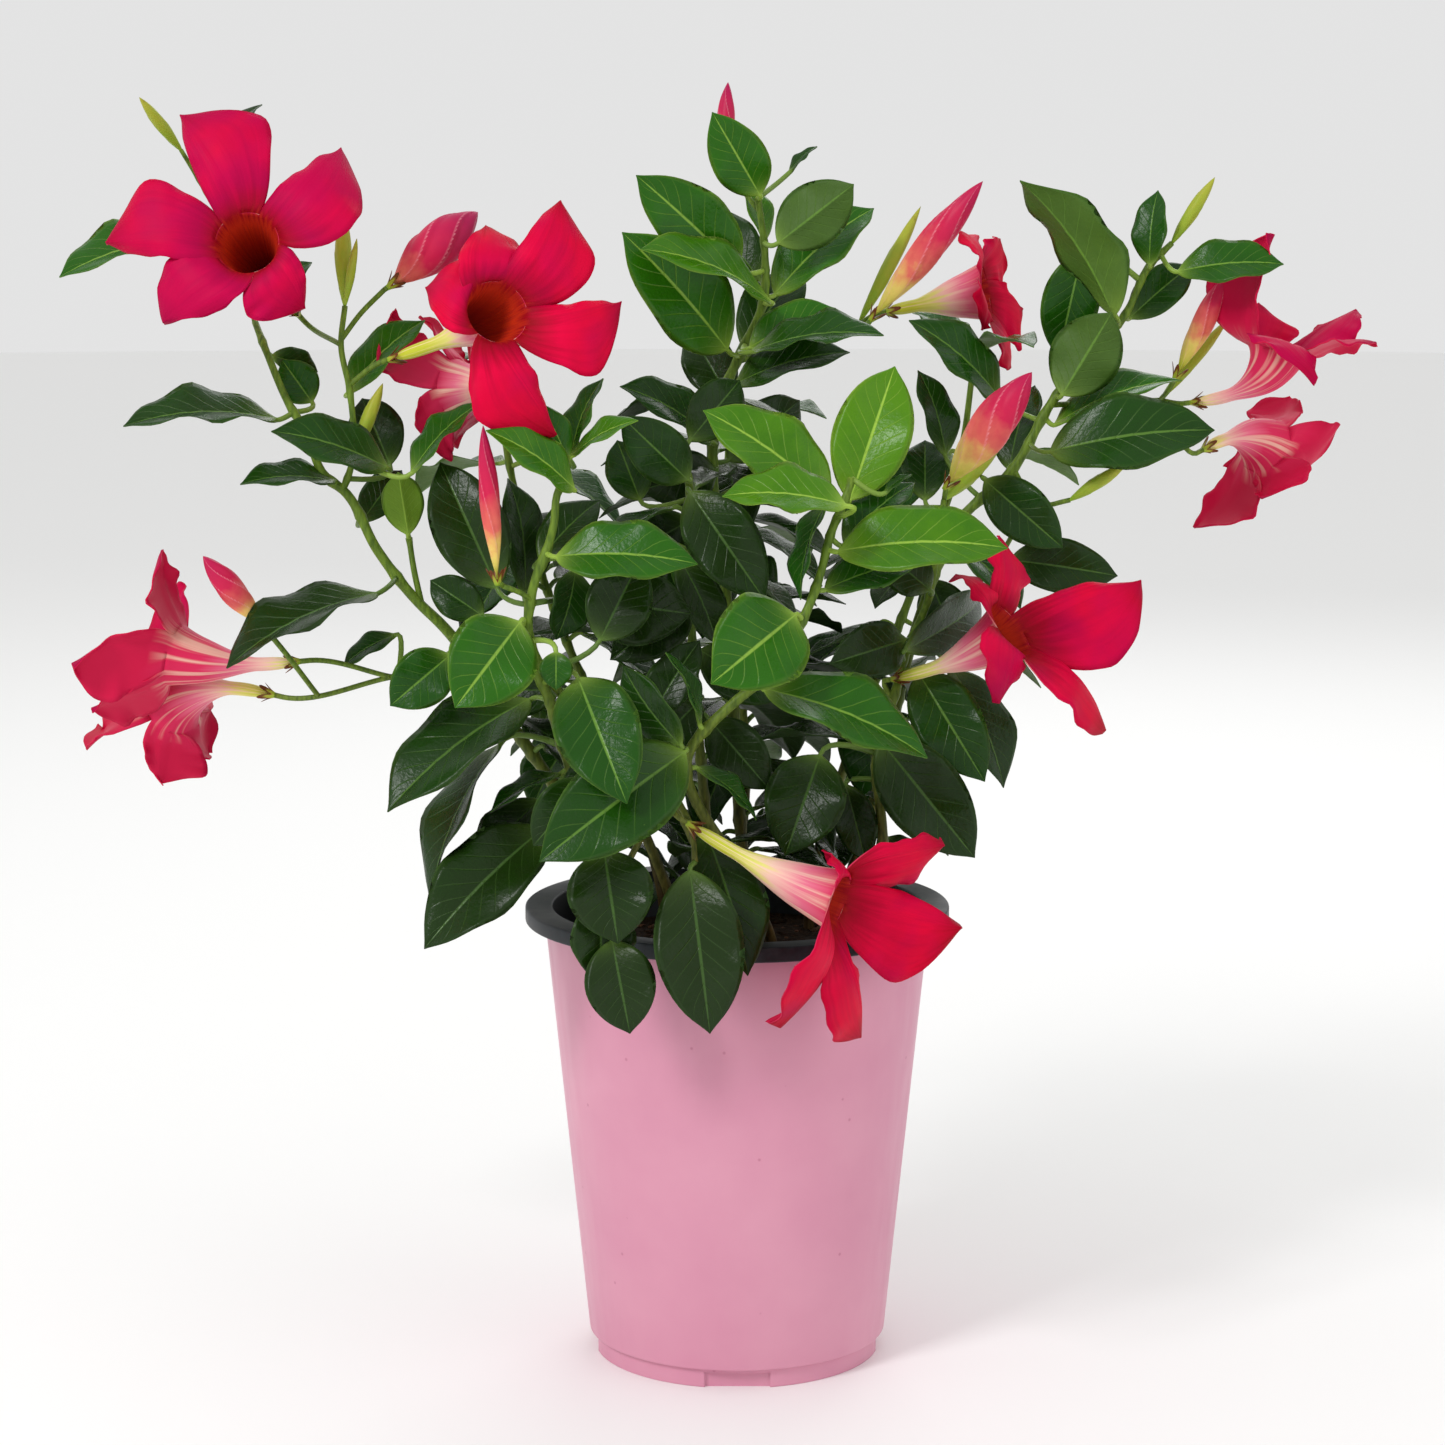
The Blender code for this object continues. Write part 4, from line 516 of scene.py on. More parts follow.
# Leaves: base pixel and depth, tip pixel and depth, width in pixels, and the side that is seen.
LEAVES = {
    "shoot_left": [
        (205, 240, 34, 59, 277, 12, 38, TOP), (277, 420, -12, 123, 426, -26, 35, TOP),
        (387, 468, -26, 271, 431, -32, 50, TOP), (312, 402, 2, 282, 360, 10, 45, TOP),
        (350, 392, -4, 425, 320, 6, 38, TOP), (390, 465, 4, 362, 398, 16, 60, TOP),
        (335, 482, -14, 240, 484, -26, 26, TOP), (408, 534, -14, 398, 472, -24, 45, UNDER),
        (362, 522, 4, 402, 470, 20, 40, TOP), (412, 473, -8, 482, 402, -20, 28, TOP),
        (377, 594, -30, 226, 668, -58, 45, TOP), (205, 168, 40, 262, 104, 52, 22, TOP),
        (208, 188, 44, 262, 132, 60, 24, TOP), (262, 300, 24, 312, 262, 34, 26, TOP),
        (272, 356, 6, 318, 372, 18, 30, TOP),
    ],
    "shoot_left_front": [
        (497, 588, -44, 440, 462, -26, 80, TOP), (524, 594, -40, 508, 478, -20, 46, TOP),
        (574, 490, -66, 486, 430, -78, 42, TOP), (570, 465, -54, 500, 408, -34, 34, TOP),
        (567, 460, -60, 536, 402, -64, 30, TOP), (572, 455, -56, 603, 378, -44, 36, TOP),
        (574, 455, -62, 638, 420, -70, 20, TOP), (556, 557, -70, 698, 564, -88, 64, TOP),
        (575, 570, -50, 556, 640, -46, 55, TOP), (590, 600, -44, 692, 614, -54, 85, TOP),
        (556, 652, -74, 556, 690, -80, 36, TOP), (540, 560, -46, 600, 500, -30, 46, TOP),
    ],
    "shoot_front": [
        (830, 500, -66, 703, 410, -56, 72, TOP), (846, 506, -74, 722, 496, -88, 50, TOP),
        (850, 500, -62, 895, 366, -48, 84, TOP), (845, 545, -68, 915, 482, -56, 42, TOP),
        (838, 552, -76, 1008, 548, -92, 72, TOP), (828, 500, -58, 800, 600, -46, 50, TOP),
        (825, 590, -72, 918, 562, -66, 45, TOP), (795, 615, -82, 711, 684, -104, 106, TOP),
        (765, 690, -84, 928, 758, -98, 66, TOP), (826, 740, -70, 738, 720, -62, 30, TOP),
        (697, 768, -74, 757, 820, -70, 18, TOP), (700, 725, -80, 666, 652, -78, 14, TOP),
        (885, 493, -74, 912, 474, -72, 9, TOP),
    ],
    "shoot_top": [
        (760, 195, 14, 712, 112, 6, 60, TOP), (738, 270, 12, 636, 175, 2, 76, TOP),
        (727, 350, 10, 622, 232, -6, 86, TOP), (770, 302, 6, 640, 249, -10, 38, TOP),
        (778, 243, 8, 854, 184, 0, 68, UNDER), (775, 295, 22, 874, 208, 34, 58, TOP),
        (790, 172, 34, 817, 146, 36, 14, TOP), (765, 240, 28, 735, 172, 40, 24, TOP),
        (750, 348, 4, 836, 308, -8, 44, TOP), (752, 352, -6, 884, 335, -24, 32, TOP),
        (735, 385, 6, 850, 352, -6, 40, TOP), (700, 342, 10, 628, 366, 0, 38, TOP),
        (712, 442, 10, 620, 386, -8, 40, TOP),
        (730, 400, 30, 690, 330, 50, 56, TOP), (745, 350, 36, 800, 270, 60, 60, TOP),
        (716, 470, 16, 640, 490, 10, 60, TOP), (728, 460, 20, 800, 400, 40, 60, TOP),
        (760, 280, 36, 700, 210, 62, 56, TOP),
    ],
    "shoot_right": [
        (1115, 315, -2, 1020, 180, -14, 62, UNDER), (1082, 252, -6, 1058, 358, -16, 62, TOP),
        (1062, 395, 0, 1112, 312, -8, 76, UNDER), (1050, 452, -10, 1215, 430, -26, 78, TOP),
        (1055, 425, 8, 1182, 380, 0, 28, TOP), (1150, 265, 4, 1158, 190, 10, 36, TOP),
        (1130, 318, 14, 1192, 265, 22, 46, TOP), (1178, 272, 2, 1284, 264, -10, 44, TOP),
        (1000, 400, 26, 909, 320, 20, 46, TOP), (945, 455, 26, 918, 370, 36, 36, TOP),
        (1010, 470, 24, 1035, 385, 44, 46, TOP), (985, 480, -4, 1063, 548, -18, 60, TOP),
        (1010, 560, 0, 1118, 576, -10, 58, TOP), (925, 500, 30, 925, 440, 50, 50, TOP),
        (930, 580, 24, 960, 650, 20, 56, TOP),
    ],
    "shoot_right_low": [
        (905, 640, -38, 829, 664, -50, 60, TOP), (820, 755, -48, 785, 856, -60, 86, TOP),
        (846, 785, -34, 866, 862, -38, 46, TOP), (887, 838, -20, 925, 862, -24, 20, TOP),
        (880, 740, -44, 975, 858, -58, 86, TOP), (918, 672, -42, 985, 782, -52, 74, TOP),
        (950, 668, -24, 1004, 788, -30, 50, TOP), (905, 650, -20, 980, 600, -6, 56, TOP),
        (930, 590, -30, 870, 540, -36, 50, TOP),
    ],
    "shoot_low_left": [
        (520, 622, -70, 455, 708, -84, 96, TOP), (450, 655, -50, 390, 706, -52, 62, TOP),
        (483, 616, -36, 430, 580, -26, 46, TOP), (578, 678, -78, 627, 804, -98, 92, TOP),
        (395, 635, -20, 343, 666, -18, 22, TOP), (530, 700, -44, 387, 812, -62, 72, TOP),
        (500, 745, -34, 430, 904, -44, 34, TOP), (560, 774, -50, 490, 812, -52, 18, TOP),
        (545, 828, -46, 424, 949, -64, 86, TOP), (540, 800, -30, 470, 880, -30, 50, TOP),
        (600, 640, -52, 640, 560, -40, 70, TOP), (560, 690, -30, 470, 690, -10, 60, TOP),
    ],
    "shoot_skirt": [
        (685, 752, -86, 539, 862, -106, 102, TOP), (681, 745, -82, 623, 666, -88, 60, TOP),
        (604, 850, -88, 618, 944, -98, 92, TOP), (590, 780, -74, 533, 846, -74, 60, TOP),
        (600, 900, -92, 598, 982, -102, 72, TOP), (612, 940, -96, 630, 1034, -100, 76, TOP),
        (690, 870, -92, 710, 1034, -104, 96, TOP), (705, 832, -84, 748, 976, -98, 76, TOP),
        (640, 760, -60, 560, 790, -56, 60, TOP), (650, 720, -62, 700, 640, -56, 50, TOP),
    ],
    "shoot_mid": [
        (688, 480, -36, 621, 416, -40, 60, TOP), (640, 500, -20, 617, 440, -10, 50, TOP),
        (690, 492, -40, 766, 602, -58, 76, TOP), (680, 560, -40, 718, 646, -50, 46, TOP),
        (690, 600, -34, 610, 660, -40, 66, TOP), (700, 650, -36, 780, 700, -44, 60, TOP),
        (690, 520, -22, 620, 560, -16, 60, TOP), (690, 440, -24, 740, 380, -10, 56, TOP),
        (700, 700, -34, 640, 760, -44, 60, TOP), (710, 720, -40, 770, 790, -50, 60, TOP),
    ],
}

# Leaf pairs on the side that the photograph doesn't show: share of the stem, bearing, length and droop.
BACK_PAIRS = {
    "shoot_back_left": [(0.28, 150, 60, 0.7), (0.42, 75, 62, 0.4), (0.56, 165, 64, 0.55),
                        (0.70, 60, 60, 0.2), (0.84, 140, 56, 0.3), (1.0, 70, 44, -0.3)],
    "shoot_back_right": [(0.28, 20, 60, 0.6), (0.42, 105, 62, 0.45), (0.56, 25, 64, 0.5),
                         (0.70, 120, 60, 0.25), (0.84, 35, 56, 0.3), (1.0, 110, 44, -0.3)],
    "shoot_back": [(0.24, 15, 56, 0.8), (0.40, 80, 54, 0.6), (0.58, 160, 60, 0.4), (0.78, 60, 54, 0.3),
                   (1.0, 140, 44, -0.2)],
}

# Blooms: base and mouth pixel and depth, the five tips in order round the mouth, and the branch they hang
# on.
BLOOMS = {
    "bloom_1": ("shoot_left", (341, 345, -16), (296, 312, 16), (247, 243, -34),
                [(179, 112, -16), (341, 143, -18), (306, 308, -38), (161, 320, -36), (104, 239, -24)]),
    "bloom_2": ("shoot_left", (350, 386, -18), (394, 358, -22), (497, 312, -60),
                [(488, 222, -42), (563, 199, -46), (623, 299, -54), (560, 432, -70), (424, 284, -48)]),
    "bloom_3": ("shoot_left_front", (520, 402, -32), (502, 391, -22), (458, 390, 8),
                [(388, 318, 8), (415, 425, 2), (450, 440, 22), (470, 380, 46), (444, 345, 34)]),
    "bloom_4": ("shoot_low_left", (392, 677, -24), (294, 662, -18), (176, 655, -8),
                [(155, 552, -12), (70, 660, -26), (90, 702, -12), (120, 690, 20), (138, 640, 24)]),
    "bloom_5": ("shoot_low_left", (392, 677, -24), (270, 694, -6), (172, 708, 26),
                [(159, 780, 22), (203, 753, 44), (180, 690, 74), (125, 680, 70), (110, 735, 50)]),
    "bloom_6": ("shoot_right_low", (893, 700, -34), (897, 678, -36), (1010, 630, -66),
                [(1005, 536, -52), (1141, 576, -58), (1112, 724, -70), (1004, 704, -78), (960, 570, -50)]),
    "bloom_7": ("shoot_skirt", (672, 790, -72), (692, 826, -90), (838, 900, -105),
                [(828, 848, -95), (948, 852, -93), (964, 930, -97), (870, 1036, -98), (790, 1032, -102)]),
    "bloom_8": ("shoot_top", (858, 325, 40), (888, 311, 38), (985, 292, 52),
                [(962, 228, 52), (1004, 240, 68), (1026, 308, 74), (1014, 360, 62), (985, 330, 42)]),
    "bloom_9": ("shoot_right", (1160, 400, 30), (1196, 402, 20), (1277, 352, 2),
                [(1281, 236, -4), (1352, 304, 10), (1374, 336, -16), (1320, 372, -34), (1262, 300, 30)]),
    "bloom_10": ("shoot_right", (1160, 400, 30), (1206, 448, 34), (1266, 446, 56),
                 [(1198, 532, 54), (1264, 500, 44), (1300, 480, 62), (1292, 402, 74), (1238, 470, 86)]),
}

# Coloured buds: branch, base and tip pixel and depth, width in pixels.
BUDS = {
    "bud_1": ("shoot_left", (384, 290, -8), (392, 284, -7), (478, 212, 8), 45),
    "bud_2": ("shoot_low_left", (310, 688, -20), (262, 625, -34), (203, 556, -40), 26),
    "bud_3": ("shoot_left_front", (503, 586, -70), (497, 578, -71), (483, 425, -74), 20),
    "bud_4": ("shoot_top", (725, 175, 27), (722, 170, 28), (728, 82, 34), 18),
    "bud_5": ("shoot_top", (858, 325, 40), (874, 316, 26), (983, 181, 8), 30),
    "bud_6": ("shoot_right_low", (944, 500, -13), (948, 484, -15), (1032, 372, -28), 42),
    "bud_7": ("shoot_right", (1160, 400, 30), (1177, 374, 20), (1230, 270, 14), 22),
}

# Small green buds, which stay part of their shoot.
GREEN_BUDS = {
    "shoot_left": [((345, 308, -14), (342, 208, -8), 17), ((345, 308, -14), (357, 238, -22), 9),
                   ((390, 455, -10), (383, 383, -16), 14), ((181, 152, 30), (139, 97, 20), 12)],
    "shoot_top": [((858, 325, 40), (921, 206, 56), 14)],
    "shoot_right": [((1172, 243, 10), (1215, 177, 4), 13), ((1160, 400, 30), (1229, 318, 40), 12),
                    ((1070, 500, -8), (1128, 463, -16), 13)],
    "shoot_right_low": [((944, 500, -13), (1003, 438, 14), 20)],
}

# Age of each leaf in the rows above, as digits from 0, young and lime, to 9, old and dark.
LEAF_AGES = {
    "shoot_left": "266428618388855",
    "shoot_left_front": "881733127938",
    "shoot_front": "0004144238446",
    "shoot_top": "222152612578687887",
    "shoot_right": "445624635777868",
    "shoot_right_low": "988886888",
    "shoot_low_left": "247467868888",
    "shoot_skirt": "5788899888",
    "shoot_mid": "7689888899",
}

# Sizes of stems, petioles and blades. Radii in the table of shoots are the solids', which are stouter.
STEM_FOOT = 141.5 * MM
SOIL_SURFACE = soil_high.z + 6 * MM
STEM_STEP = 2.5 * MM
STEM_COLUMNS = 12
STEM_SLIMMING = 0.85 * MM
WOODY_HEIGHT = 120 * MM
GREEN_BUD_SUNK = 2 * MM
GREEN_BUD_GRID = (20, 24)
NODE_SWELLING = 0.28
NODE_LENGTH = 2.4 * MM
PETIOLE_RADIUS = 0.95 * MM
TWIG_RADIUS = 1.3 * MM
LONGEST_PETIOLE = 26 * MM
PETIOLE_BEND = 0.3
BLADE_THICKNESS = 0.55 * MM
LEAF_ASPECT = 0.54
VEIN_PAIRS = 9
VEIN_SLANT = 2.3
LEAF_FOLD = math.radians(20)
LEAF_ARCH = math.radians(34)
FOLD_SOFTNESS = 1.6 * MM
GROOVE_DEPTH = 0.3 * MM
GROOVE_WIDTH = 0.7 * MM
QUILTING = 0.35 * MM
BLADE_COLUMNS = 17
BLADE_ROWS = 25
PETIOLE_ROWS = 7
STALK_RADII = (1.2, 1.3)
STALK_END = 5 * MM
SEPAL_SEAT = 1.2 * MM
SEPAL_COLUMNS = 40
SEPAL_ROWS = 7
SEPAL_FOOT = 1.6 * MM
SEPAL_THICKNESS = 0.35 * MM
BACK_PETIOLE = 8 * MM

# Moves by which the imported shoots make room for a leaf: its size, its base and its tip along the line of
# sight in millimetres, and its roll. MATCH_DISTANCE is how near to packed points a leaf found again lies.
LEAF_SHRINKS = (1.0, 0.9, 0.78, 0.64, 0.5)
BASE_MOVES = (0, 4, -4, 9, -9, 15, -15, 22, -22)
TIP_MOVES = (0, 6, -6, 13, -13, 21, -21, 30, -30, 42, -42)
LEAF_ROLLS = np.radians((0, 16, -16, 34, -34))
MATCH_DISTANCE = 0.9 * MM


def bezier(points, share):
    """Quadratic curve through two ends, drawn to a middle point: (1-t)^2 a + 2(1-t)t b + t^2 c."""
    first, middle, last = points
    share = np.asarray(share)[..., None]
    return (1 - share) ** 2 * first + 2 * (1 - share) * share * middle + share ** 2 * last


def blade_width(share):
    """Half width of a leaf as a share of its widest: t^0.7 (1-t)^0.85 / 0.344."""
    share = np.clip(share, 0, 1)
    return share ** 0.7 * (1 - share) ** 0.85 / 0.344


def facing_normal(base, tip, width, side_seen):
    """Normal of a blade that shows the given width to the viewer, turned to the sky where both would do."""
    forward = unit(tip - base)
    to_eye = unit(EYE - (base + tip) / 2)
    shown = unit(to_eye - to_eye.dot(forward) * forward)
    full_width = max(width, LEAF_ASPECT * np.linalg.norm(tip - base))
    turn = math.acos(min(1.0, width / full_width))
    beside = np.cross(forward, shown)
    choices = [side_seen * (math.cos(turn) * shown + sign * math.sin(turn) * beside) for sign in (1, -1)]
    return max(choices, key=lambda normal: normal[2]), full_width / 2


def spine_of(leaf, share):
    """The blade's midrib on an arc from base to tip, with its forward, sideways and upward directions."""
    base, tip, normal, _ = leaf
    length = np.linalg.norm(tip - base)
    forward = (tip - base) / length
    up = unit(normal - normal.dot(forward) * forward)
    radius = length / (2 * math.sin(LEAF_ARCH / 2))
    turn = LEAF_ARCH * (share - 0.5)
    run = radius * (np.sin(turn) + math.sin(LEAF_ARCH / 2))
    lift = radius * (np.cos(turn) - math.cos(LEAF_ARCH / 2))
    return base + run[..., None] * forward + lift[..., None] * up, forward, np.cross(forward, up), up


def margin_points(leaf, share):
    """Places on both margins of the folded blade at shares of its length."""
    spine, _, side, up = spine_of(leaf, share)
    width = leaf[3] * blade_width(share)
    raised = (width * math.sin(LEAF_FOLD))[..., None] * up
    out = (width * math.cos(LEAF_FOLD))[..., None] * side
    return np.concatenate((spine + out + raised, spine - out + raised))


def settled(leaf, packed):
    """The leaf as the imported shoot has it, or None where it has none.

    The leaf's ends may have moved along the line of sight and its blade may have rolled and shrunk about its
    base, to clear its neighbours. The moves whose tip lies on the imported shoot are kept, and of those the one
    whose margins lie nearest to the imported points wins.
    """
    base, tip, normal, half_width = leaf
    base_ray = unit(base - EYE)
    tip_ray = unit(tip - EYE)
    shifts = np.array([(size, near, far)
                       for size in LEAF_SHRINKS for near in BASE_MOVES for far in TIP_MOVES])
    bases = base + shifts[:, 1:2] * MM * base_ray
    tips = bases + (tip + shifts[:, 2:3] * MM * tip_ray - bases) * shifts[:, :1]
    away = np.linalg.norm(tips[:, None] - packed, axis=2).min(axis=1)
    best = None
    for number in np.nonzero(away < MATCH_DISTANCE)[0]:
        forward = unit(tip + shifts[number, 2] * MM * tip_ray - bases[number])
        up = unit(normal - normal.dot(forward) * forward)
        side = np.cross(forward, up)
        for roll in LEAF_ROLLS:
            turned_up = math.cos(roll) * up + math.sin(roll) * side
            trial = (bases[number], tips[number], turned_up, half_width * shifts[number, 0])
            for rows in ((0.25, 0.6), (0.42,)):
                margin = margin_points(trial, np.array(rows))
                miss = np.linalg.norm(margin[:, None] - packed, axis=2).min(axis=1).mean()
                if best is None or miss < best[0]:
                    best = (miss, trial)
    if best is None or best[0] > 2 * MATCH_DISTANCE:
        return None
    return best[1]


def flowing(points, radii):
    """A smooth line through the points, and its radius, in cubic steps with slopes from both neighbours."""
    points = np.array(points)
    steps = np.linalg.norm(np.diff(points, axis=0), axis=1)
    slopes = np.diff(points, axis=0) / steps[:, None]
    inner = slopes[:-1] * steps[1:, None] + slopes[1:] * steps[:-1, None]
    inner = inner / (steps[1:] + steps[:-1])[:, None]
    heading = np.concatenate((slopes[:1], inner, slopes[-1:]))
    line = []
    sizes = []
    widths = np.linspace(*radii, len(points))
    for number, step in enumerate(steps):
        count = max(2, round(step / STEM_STEP))
        share = np.linspace(0, 1, count, endpoint=number == len(steps) - 1)[:, None]
        start, end = points[number], points[number + 1]
        line.append((2 * share ** 3 - 3 * share ** 2 + 1) * start + (3 * share ** 2 - 2 * share ** 3) * end
                    + (share ** 3 - 2 * share ** 2 + share) * step * heading[number]
                    + (share ** 3 - share ** 2) * step * heading[number + 1])
        sizes.append(widths[number] + (widths[number + 1] - widths[number]) * share[:, 0])
    return np.concatenate(line), np.concatenate(sizes)


def stem_skin(line, radius, joints, look):
    """A tapering tube along a line: at each point a ring across the heading, swollen near the joints."""
    heading = unit(np.gradient(line, axis=0))
    first = unit(np.cross(heading, (0.2, 1.0, 0.1)))
    second = np.cross(heading, first)
    bearing = np.linspace(0, 2 * math.pi, STEM_COLUMNS, endpoint=False)
    if len(joints):
        away = np.linalg.norm(line[:, None] - np.array(joints), axis=2).min(axis=1)
        radius = radius * (1 + NODE_SWELLING * np.exp(-(away / NODE_LENGTH) ** 2))
    ring = np.cos(bearing)[:, None] * first[:, None] + np.sin(bearing)[:, None] * second[:, None]
    points = line[:, None] + radius[:, None, None] * ring
    ends = np.broadcast_to(line[[0, -1], None], (2, *ring.shape[1:]))
    points = np.concatenate((ends[:1], points, ends[1:]))
    looks = np.empty_like(points)
    looks[..., 0] = np.concatenate((look[:1], look, look[-1:]))[:, None]
    looks[..., 1] = 0
    looks[..., 2] = 0.5
    return points, True, 1, {"growth": looks}


def nearest(lines, point):
    """The nearest of the points on a shoot's stem lines."""
    points = np.concatenate(lines)
    return points[np.linalg.norm(points - point, axis=1).argmin()]


def leaf_skin(root, leaf, age, chance):
    """Closed skin of a petiole and its blade, as rings of points: the upper side and then the underside.

    A petiole ring is a circle that follows a bent line. A blade ring is flat: its half width follows
    blade_width, its halves fold up from the midrib and wave at the margin, the upper side has a groove along
    the midrib and the underside has the midrib's round back.
    """
    base, _, _, half_width = leaf
    half = np.linspace(-1, 1, BLADE_COLUMNS)
    half = np.sign(half) * np.abs(half) ** 1.5
    across = np.concatenate((half, half[-2:0:-1]))[None, :]
    upper = np.concatenate((np.ones(BLADE_COLUMNS), -np.ones(BLADE_COLUMNS - 2)))[None, :]
    upper = np.where(np.abs(across) > 0.9999, 0, upper)

    share = ((1 - np.cos(np.linspace(0, math.pi, BLADE_ROWS))) / 2)[:, None]
    spine, forward, side, up = spine_of(leaf, share[:, 0])
    stalk_share = (1 - share) ** 12
    drip_tip = 1 - 0.45 * np.exp(-((1 - share) / 0.07) ** 1.5)
    width = np.hypot(half_width * blade_width(share) * drip_tip, PETIOLE_RADIUS * (1 - share) ** 6)
    width[-1] = 0
    offset = across * width * math.cos(LEAF_FOLD)
    folded = (np.sqrt(offset ** 2 + FOLD_SOFTNESS ** 2) - FOLD_SOFTNESS) * math.tan(LEAF_FOLD)
    margin = np.abs(across) ** 2.5 * np.sin(math.pi * share)
    waves = np.sin(2 * math.pi * (1.6 + chance) * share + 5 * chance + np.where(across > 0, 2.1, 0))
    between_veins = np.sin(math.pi * (VEIN_PAIRS * share - VEIN_SLANT * np.abs(across))) ** 2
    quilted = QUILTING * between_veins * (1 - np.abs(across) ** 3)
    raised = folded + margin * half_width * (0.13 * waves - 0.06) + quilted * np.sin(math.pi * share)
    midrib = PETIOLE_RADIUS * (1 - 0.75 * share) * np.exp(-(offset / (1.4 * PETIOLE_RADIUS)) ** 2)
    groove = GROOVE_DEPTH * np.exp(-(offset / GROOVE_WIDTH) ** 2)
    flesh = BLADE_THICKNESS / 2 * np.sqrt(np.clip(1 - across ** 4, 0, 1))
    flat = np.where(upper > 0, flesh - groove, -flesh - midrib) * np.abs(upper)
    circle = PETIOLE_RADIUS * np.sqrt(np.clip(1 - across ** 2, 0, 1)) * upper
    lift = stalk_share * circle + (1 - stalk_share) * (flat + raised)
    lift[-1] = 0
    blade = spine[:, None] + offset[..., None] * side + lift[..., None] * up

    reach = np.linalg.norm(base - root)
    bend = base - forward * PETIOLE_BEND * reach
    along = np.linspace(0, 1, PETIOLE_ROWS)[:-1]
    stalk = bezier((root, bend, base), along)
    heading = unit(2 * (1 - along)[:, None] * (bend - root) + 2 * along[:, None] * (base - bend))
    beside = unit(side - (heading @ side)[:, None] * heading)
    above = np.cross(beside, heading)
    thick = TWIG_RADIUS if reach > LONGEST_PETIOLE else 1.15 * PETIOLE_RADIUS
    radius = thick + (PETIOLE_RADIUS - thick) * along
    out = across * radius[:, None]
    rise = radius[:, None] * np.sqrt(np.clip(1 - across ** 2, 0, 1)) * upper
    petiole = stalk[:, None] + out[..., None] * beside[:, None] + rise[..., None] * above[:, None]
    points = np.concatenate((np.broadcast_to(root, petiole[:1].shape), petiole, blade))

    blade_look = np.zeros_like(points)
    blade_look[..., 0] = across
    blade_look[PETIOLE_ROWS:, :, 1] = share
    blade_look[..., 2] = (1 - upper) / 2
    growth = np.zeros_like(points)
    growth[..., 0] = age
    growth[:PETIOLE_ROWS, :, 1] = 1
    growth[PETIOLE_ROWS:, :, 1] = (1 - share) ** 14
    growth[..., 2] = chance
    return points, True, 0, {"blade": blade_look, "growth": growth}


def sepal_crown(centre, heading):
    """The five sepals as one crown: a cup whose height and spread peak five times, up and down again."""
    first = unit(np.cross(heading, (0.2, 1.0, 0.1)))
    second = np.cross(heading, first)
    bearing = np.linspace(0, 2 * math.pi, SEPAL_COLUMNS, endpoint=False)[None, :]
    up_outside = np.linspace(0, 1, SEPAL_ROWS)
    share = np.concatenate((up_outside, up_outside[::-1]))[:, None]
    peak = (0.5 + 0.5 * np.cos(LOBES * bearing)) ** 0.8
    height = share * (2.0 + 4.6 * peak) * MM - SEPAL_FOOT
    radius = (1.0 + share * (0.7 + 2.4 * peak * share)) * MM
    inside = np.arange(2 * SEPAL_ROWS)[:, None] >= SEPAL_ROWS
    radius = radius - np.where(inside, SEPAL_THICKNESS, 0) * (1 - 0.5 * share)
    ring = np.cos(bearing)[..., None] * first + np.sin(bearing)[..., None] * second
    points = centre + height[..., None] * heading + radius[..., None] * ring
    points = np.concatenate((np.broadcast_to(centre - SEPAL_FOOT * heading, points[:1].shape), points))
    looks = np.zeros_like(points)
    looks[1:, :, 0] = share * np.ones_like(bearing)
    looks[..., 2] = 0.5
    return points, True, 2, {"growth": looks}


def spindle(base, tip, width, columns, rows, material, chance):
    """A pointed bud: rings of radius t (1-t)^0.9 / 0.269 of half its width, with five twisted overlaps.

    Each overlap swells slowly and drops at once, like the petals that are wound round each other inside.
    """
    heading = unit(tip - base)
    first = unit(np.cross(heading, (0.2, 1.0, 0.1)))
    second = np.cross(heading, first)
    share = np.linspace(0, 1, rows)[:, None]
    bearing = np.linspace(0, 2 * math.pi, columns, endpoint=False)[None, :]
    wound = (LOBES * bearing / (2 * math.pi) + 2.2 * share + chance) % 1
    overlap = np.minimum(wound / 0.82, (1 - wound) / 0.18)
    radius = width / 2 * share * (1 - share) ** 0.9 / 0.269 * (0.93 + 0.13 * overlap)
    ring = np.cos(bearing)[..., None] * first + np.sin(bearing)[..., None] * second
    points = base + share[..., None] * (tip - base) + radius[..., None] * ring
    looks = np.zeros_like(points)
    looks[..., 0] = overlap
    looks[..., 1] = share
    looks[..., 2] = chance
    return points, True, material, {"bud": looks, "growth": looks * (0, 1, 1)}


def point_along(line, share):
    """The place and heading at a share of a line's length, counted from its start."""
    steps = np.linalg.norm(np.diff(line, axis=0), axis=1)
    left = share * steps.sum()
    for start, end, step in zip(line[:-1], line[1:], steps):
        if left <= step or end is line[-1]:
            return start + (end - start) * min(1.0, left / step), unit(end - start)
        left -= step
    return line[-1], unit(line[-1] - line[-2])


def seen_leaves(rows, ages):
    """Leaves that the photograph shows, from their rows, each with its age."""
    for (base_x, base_y, base_depth, tip_x, tip_y, tip_depth, width_px, side_seen), age in zip(rows, ages):
        base = place(base_x, base_y, base_depth)
        tip = place(tip_x, tip_y, tip_depth)
        width = width_px * np.linalg.norm(EYE - base) / PHOTO_FOCAL_PX
        normal, half_width = facing_normal(base, tip, width, side_seen)
        yield (base, tip, normal, half_width), int(age) / 9


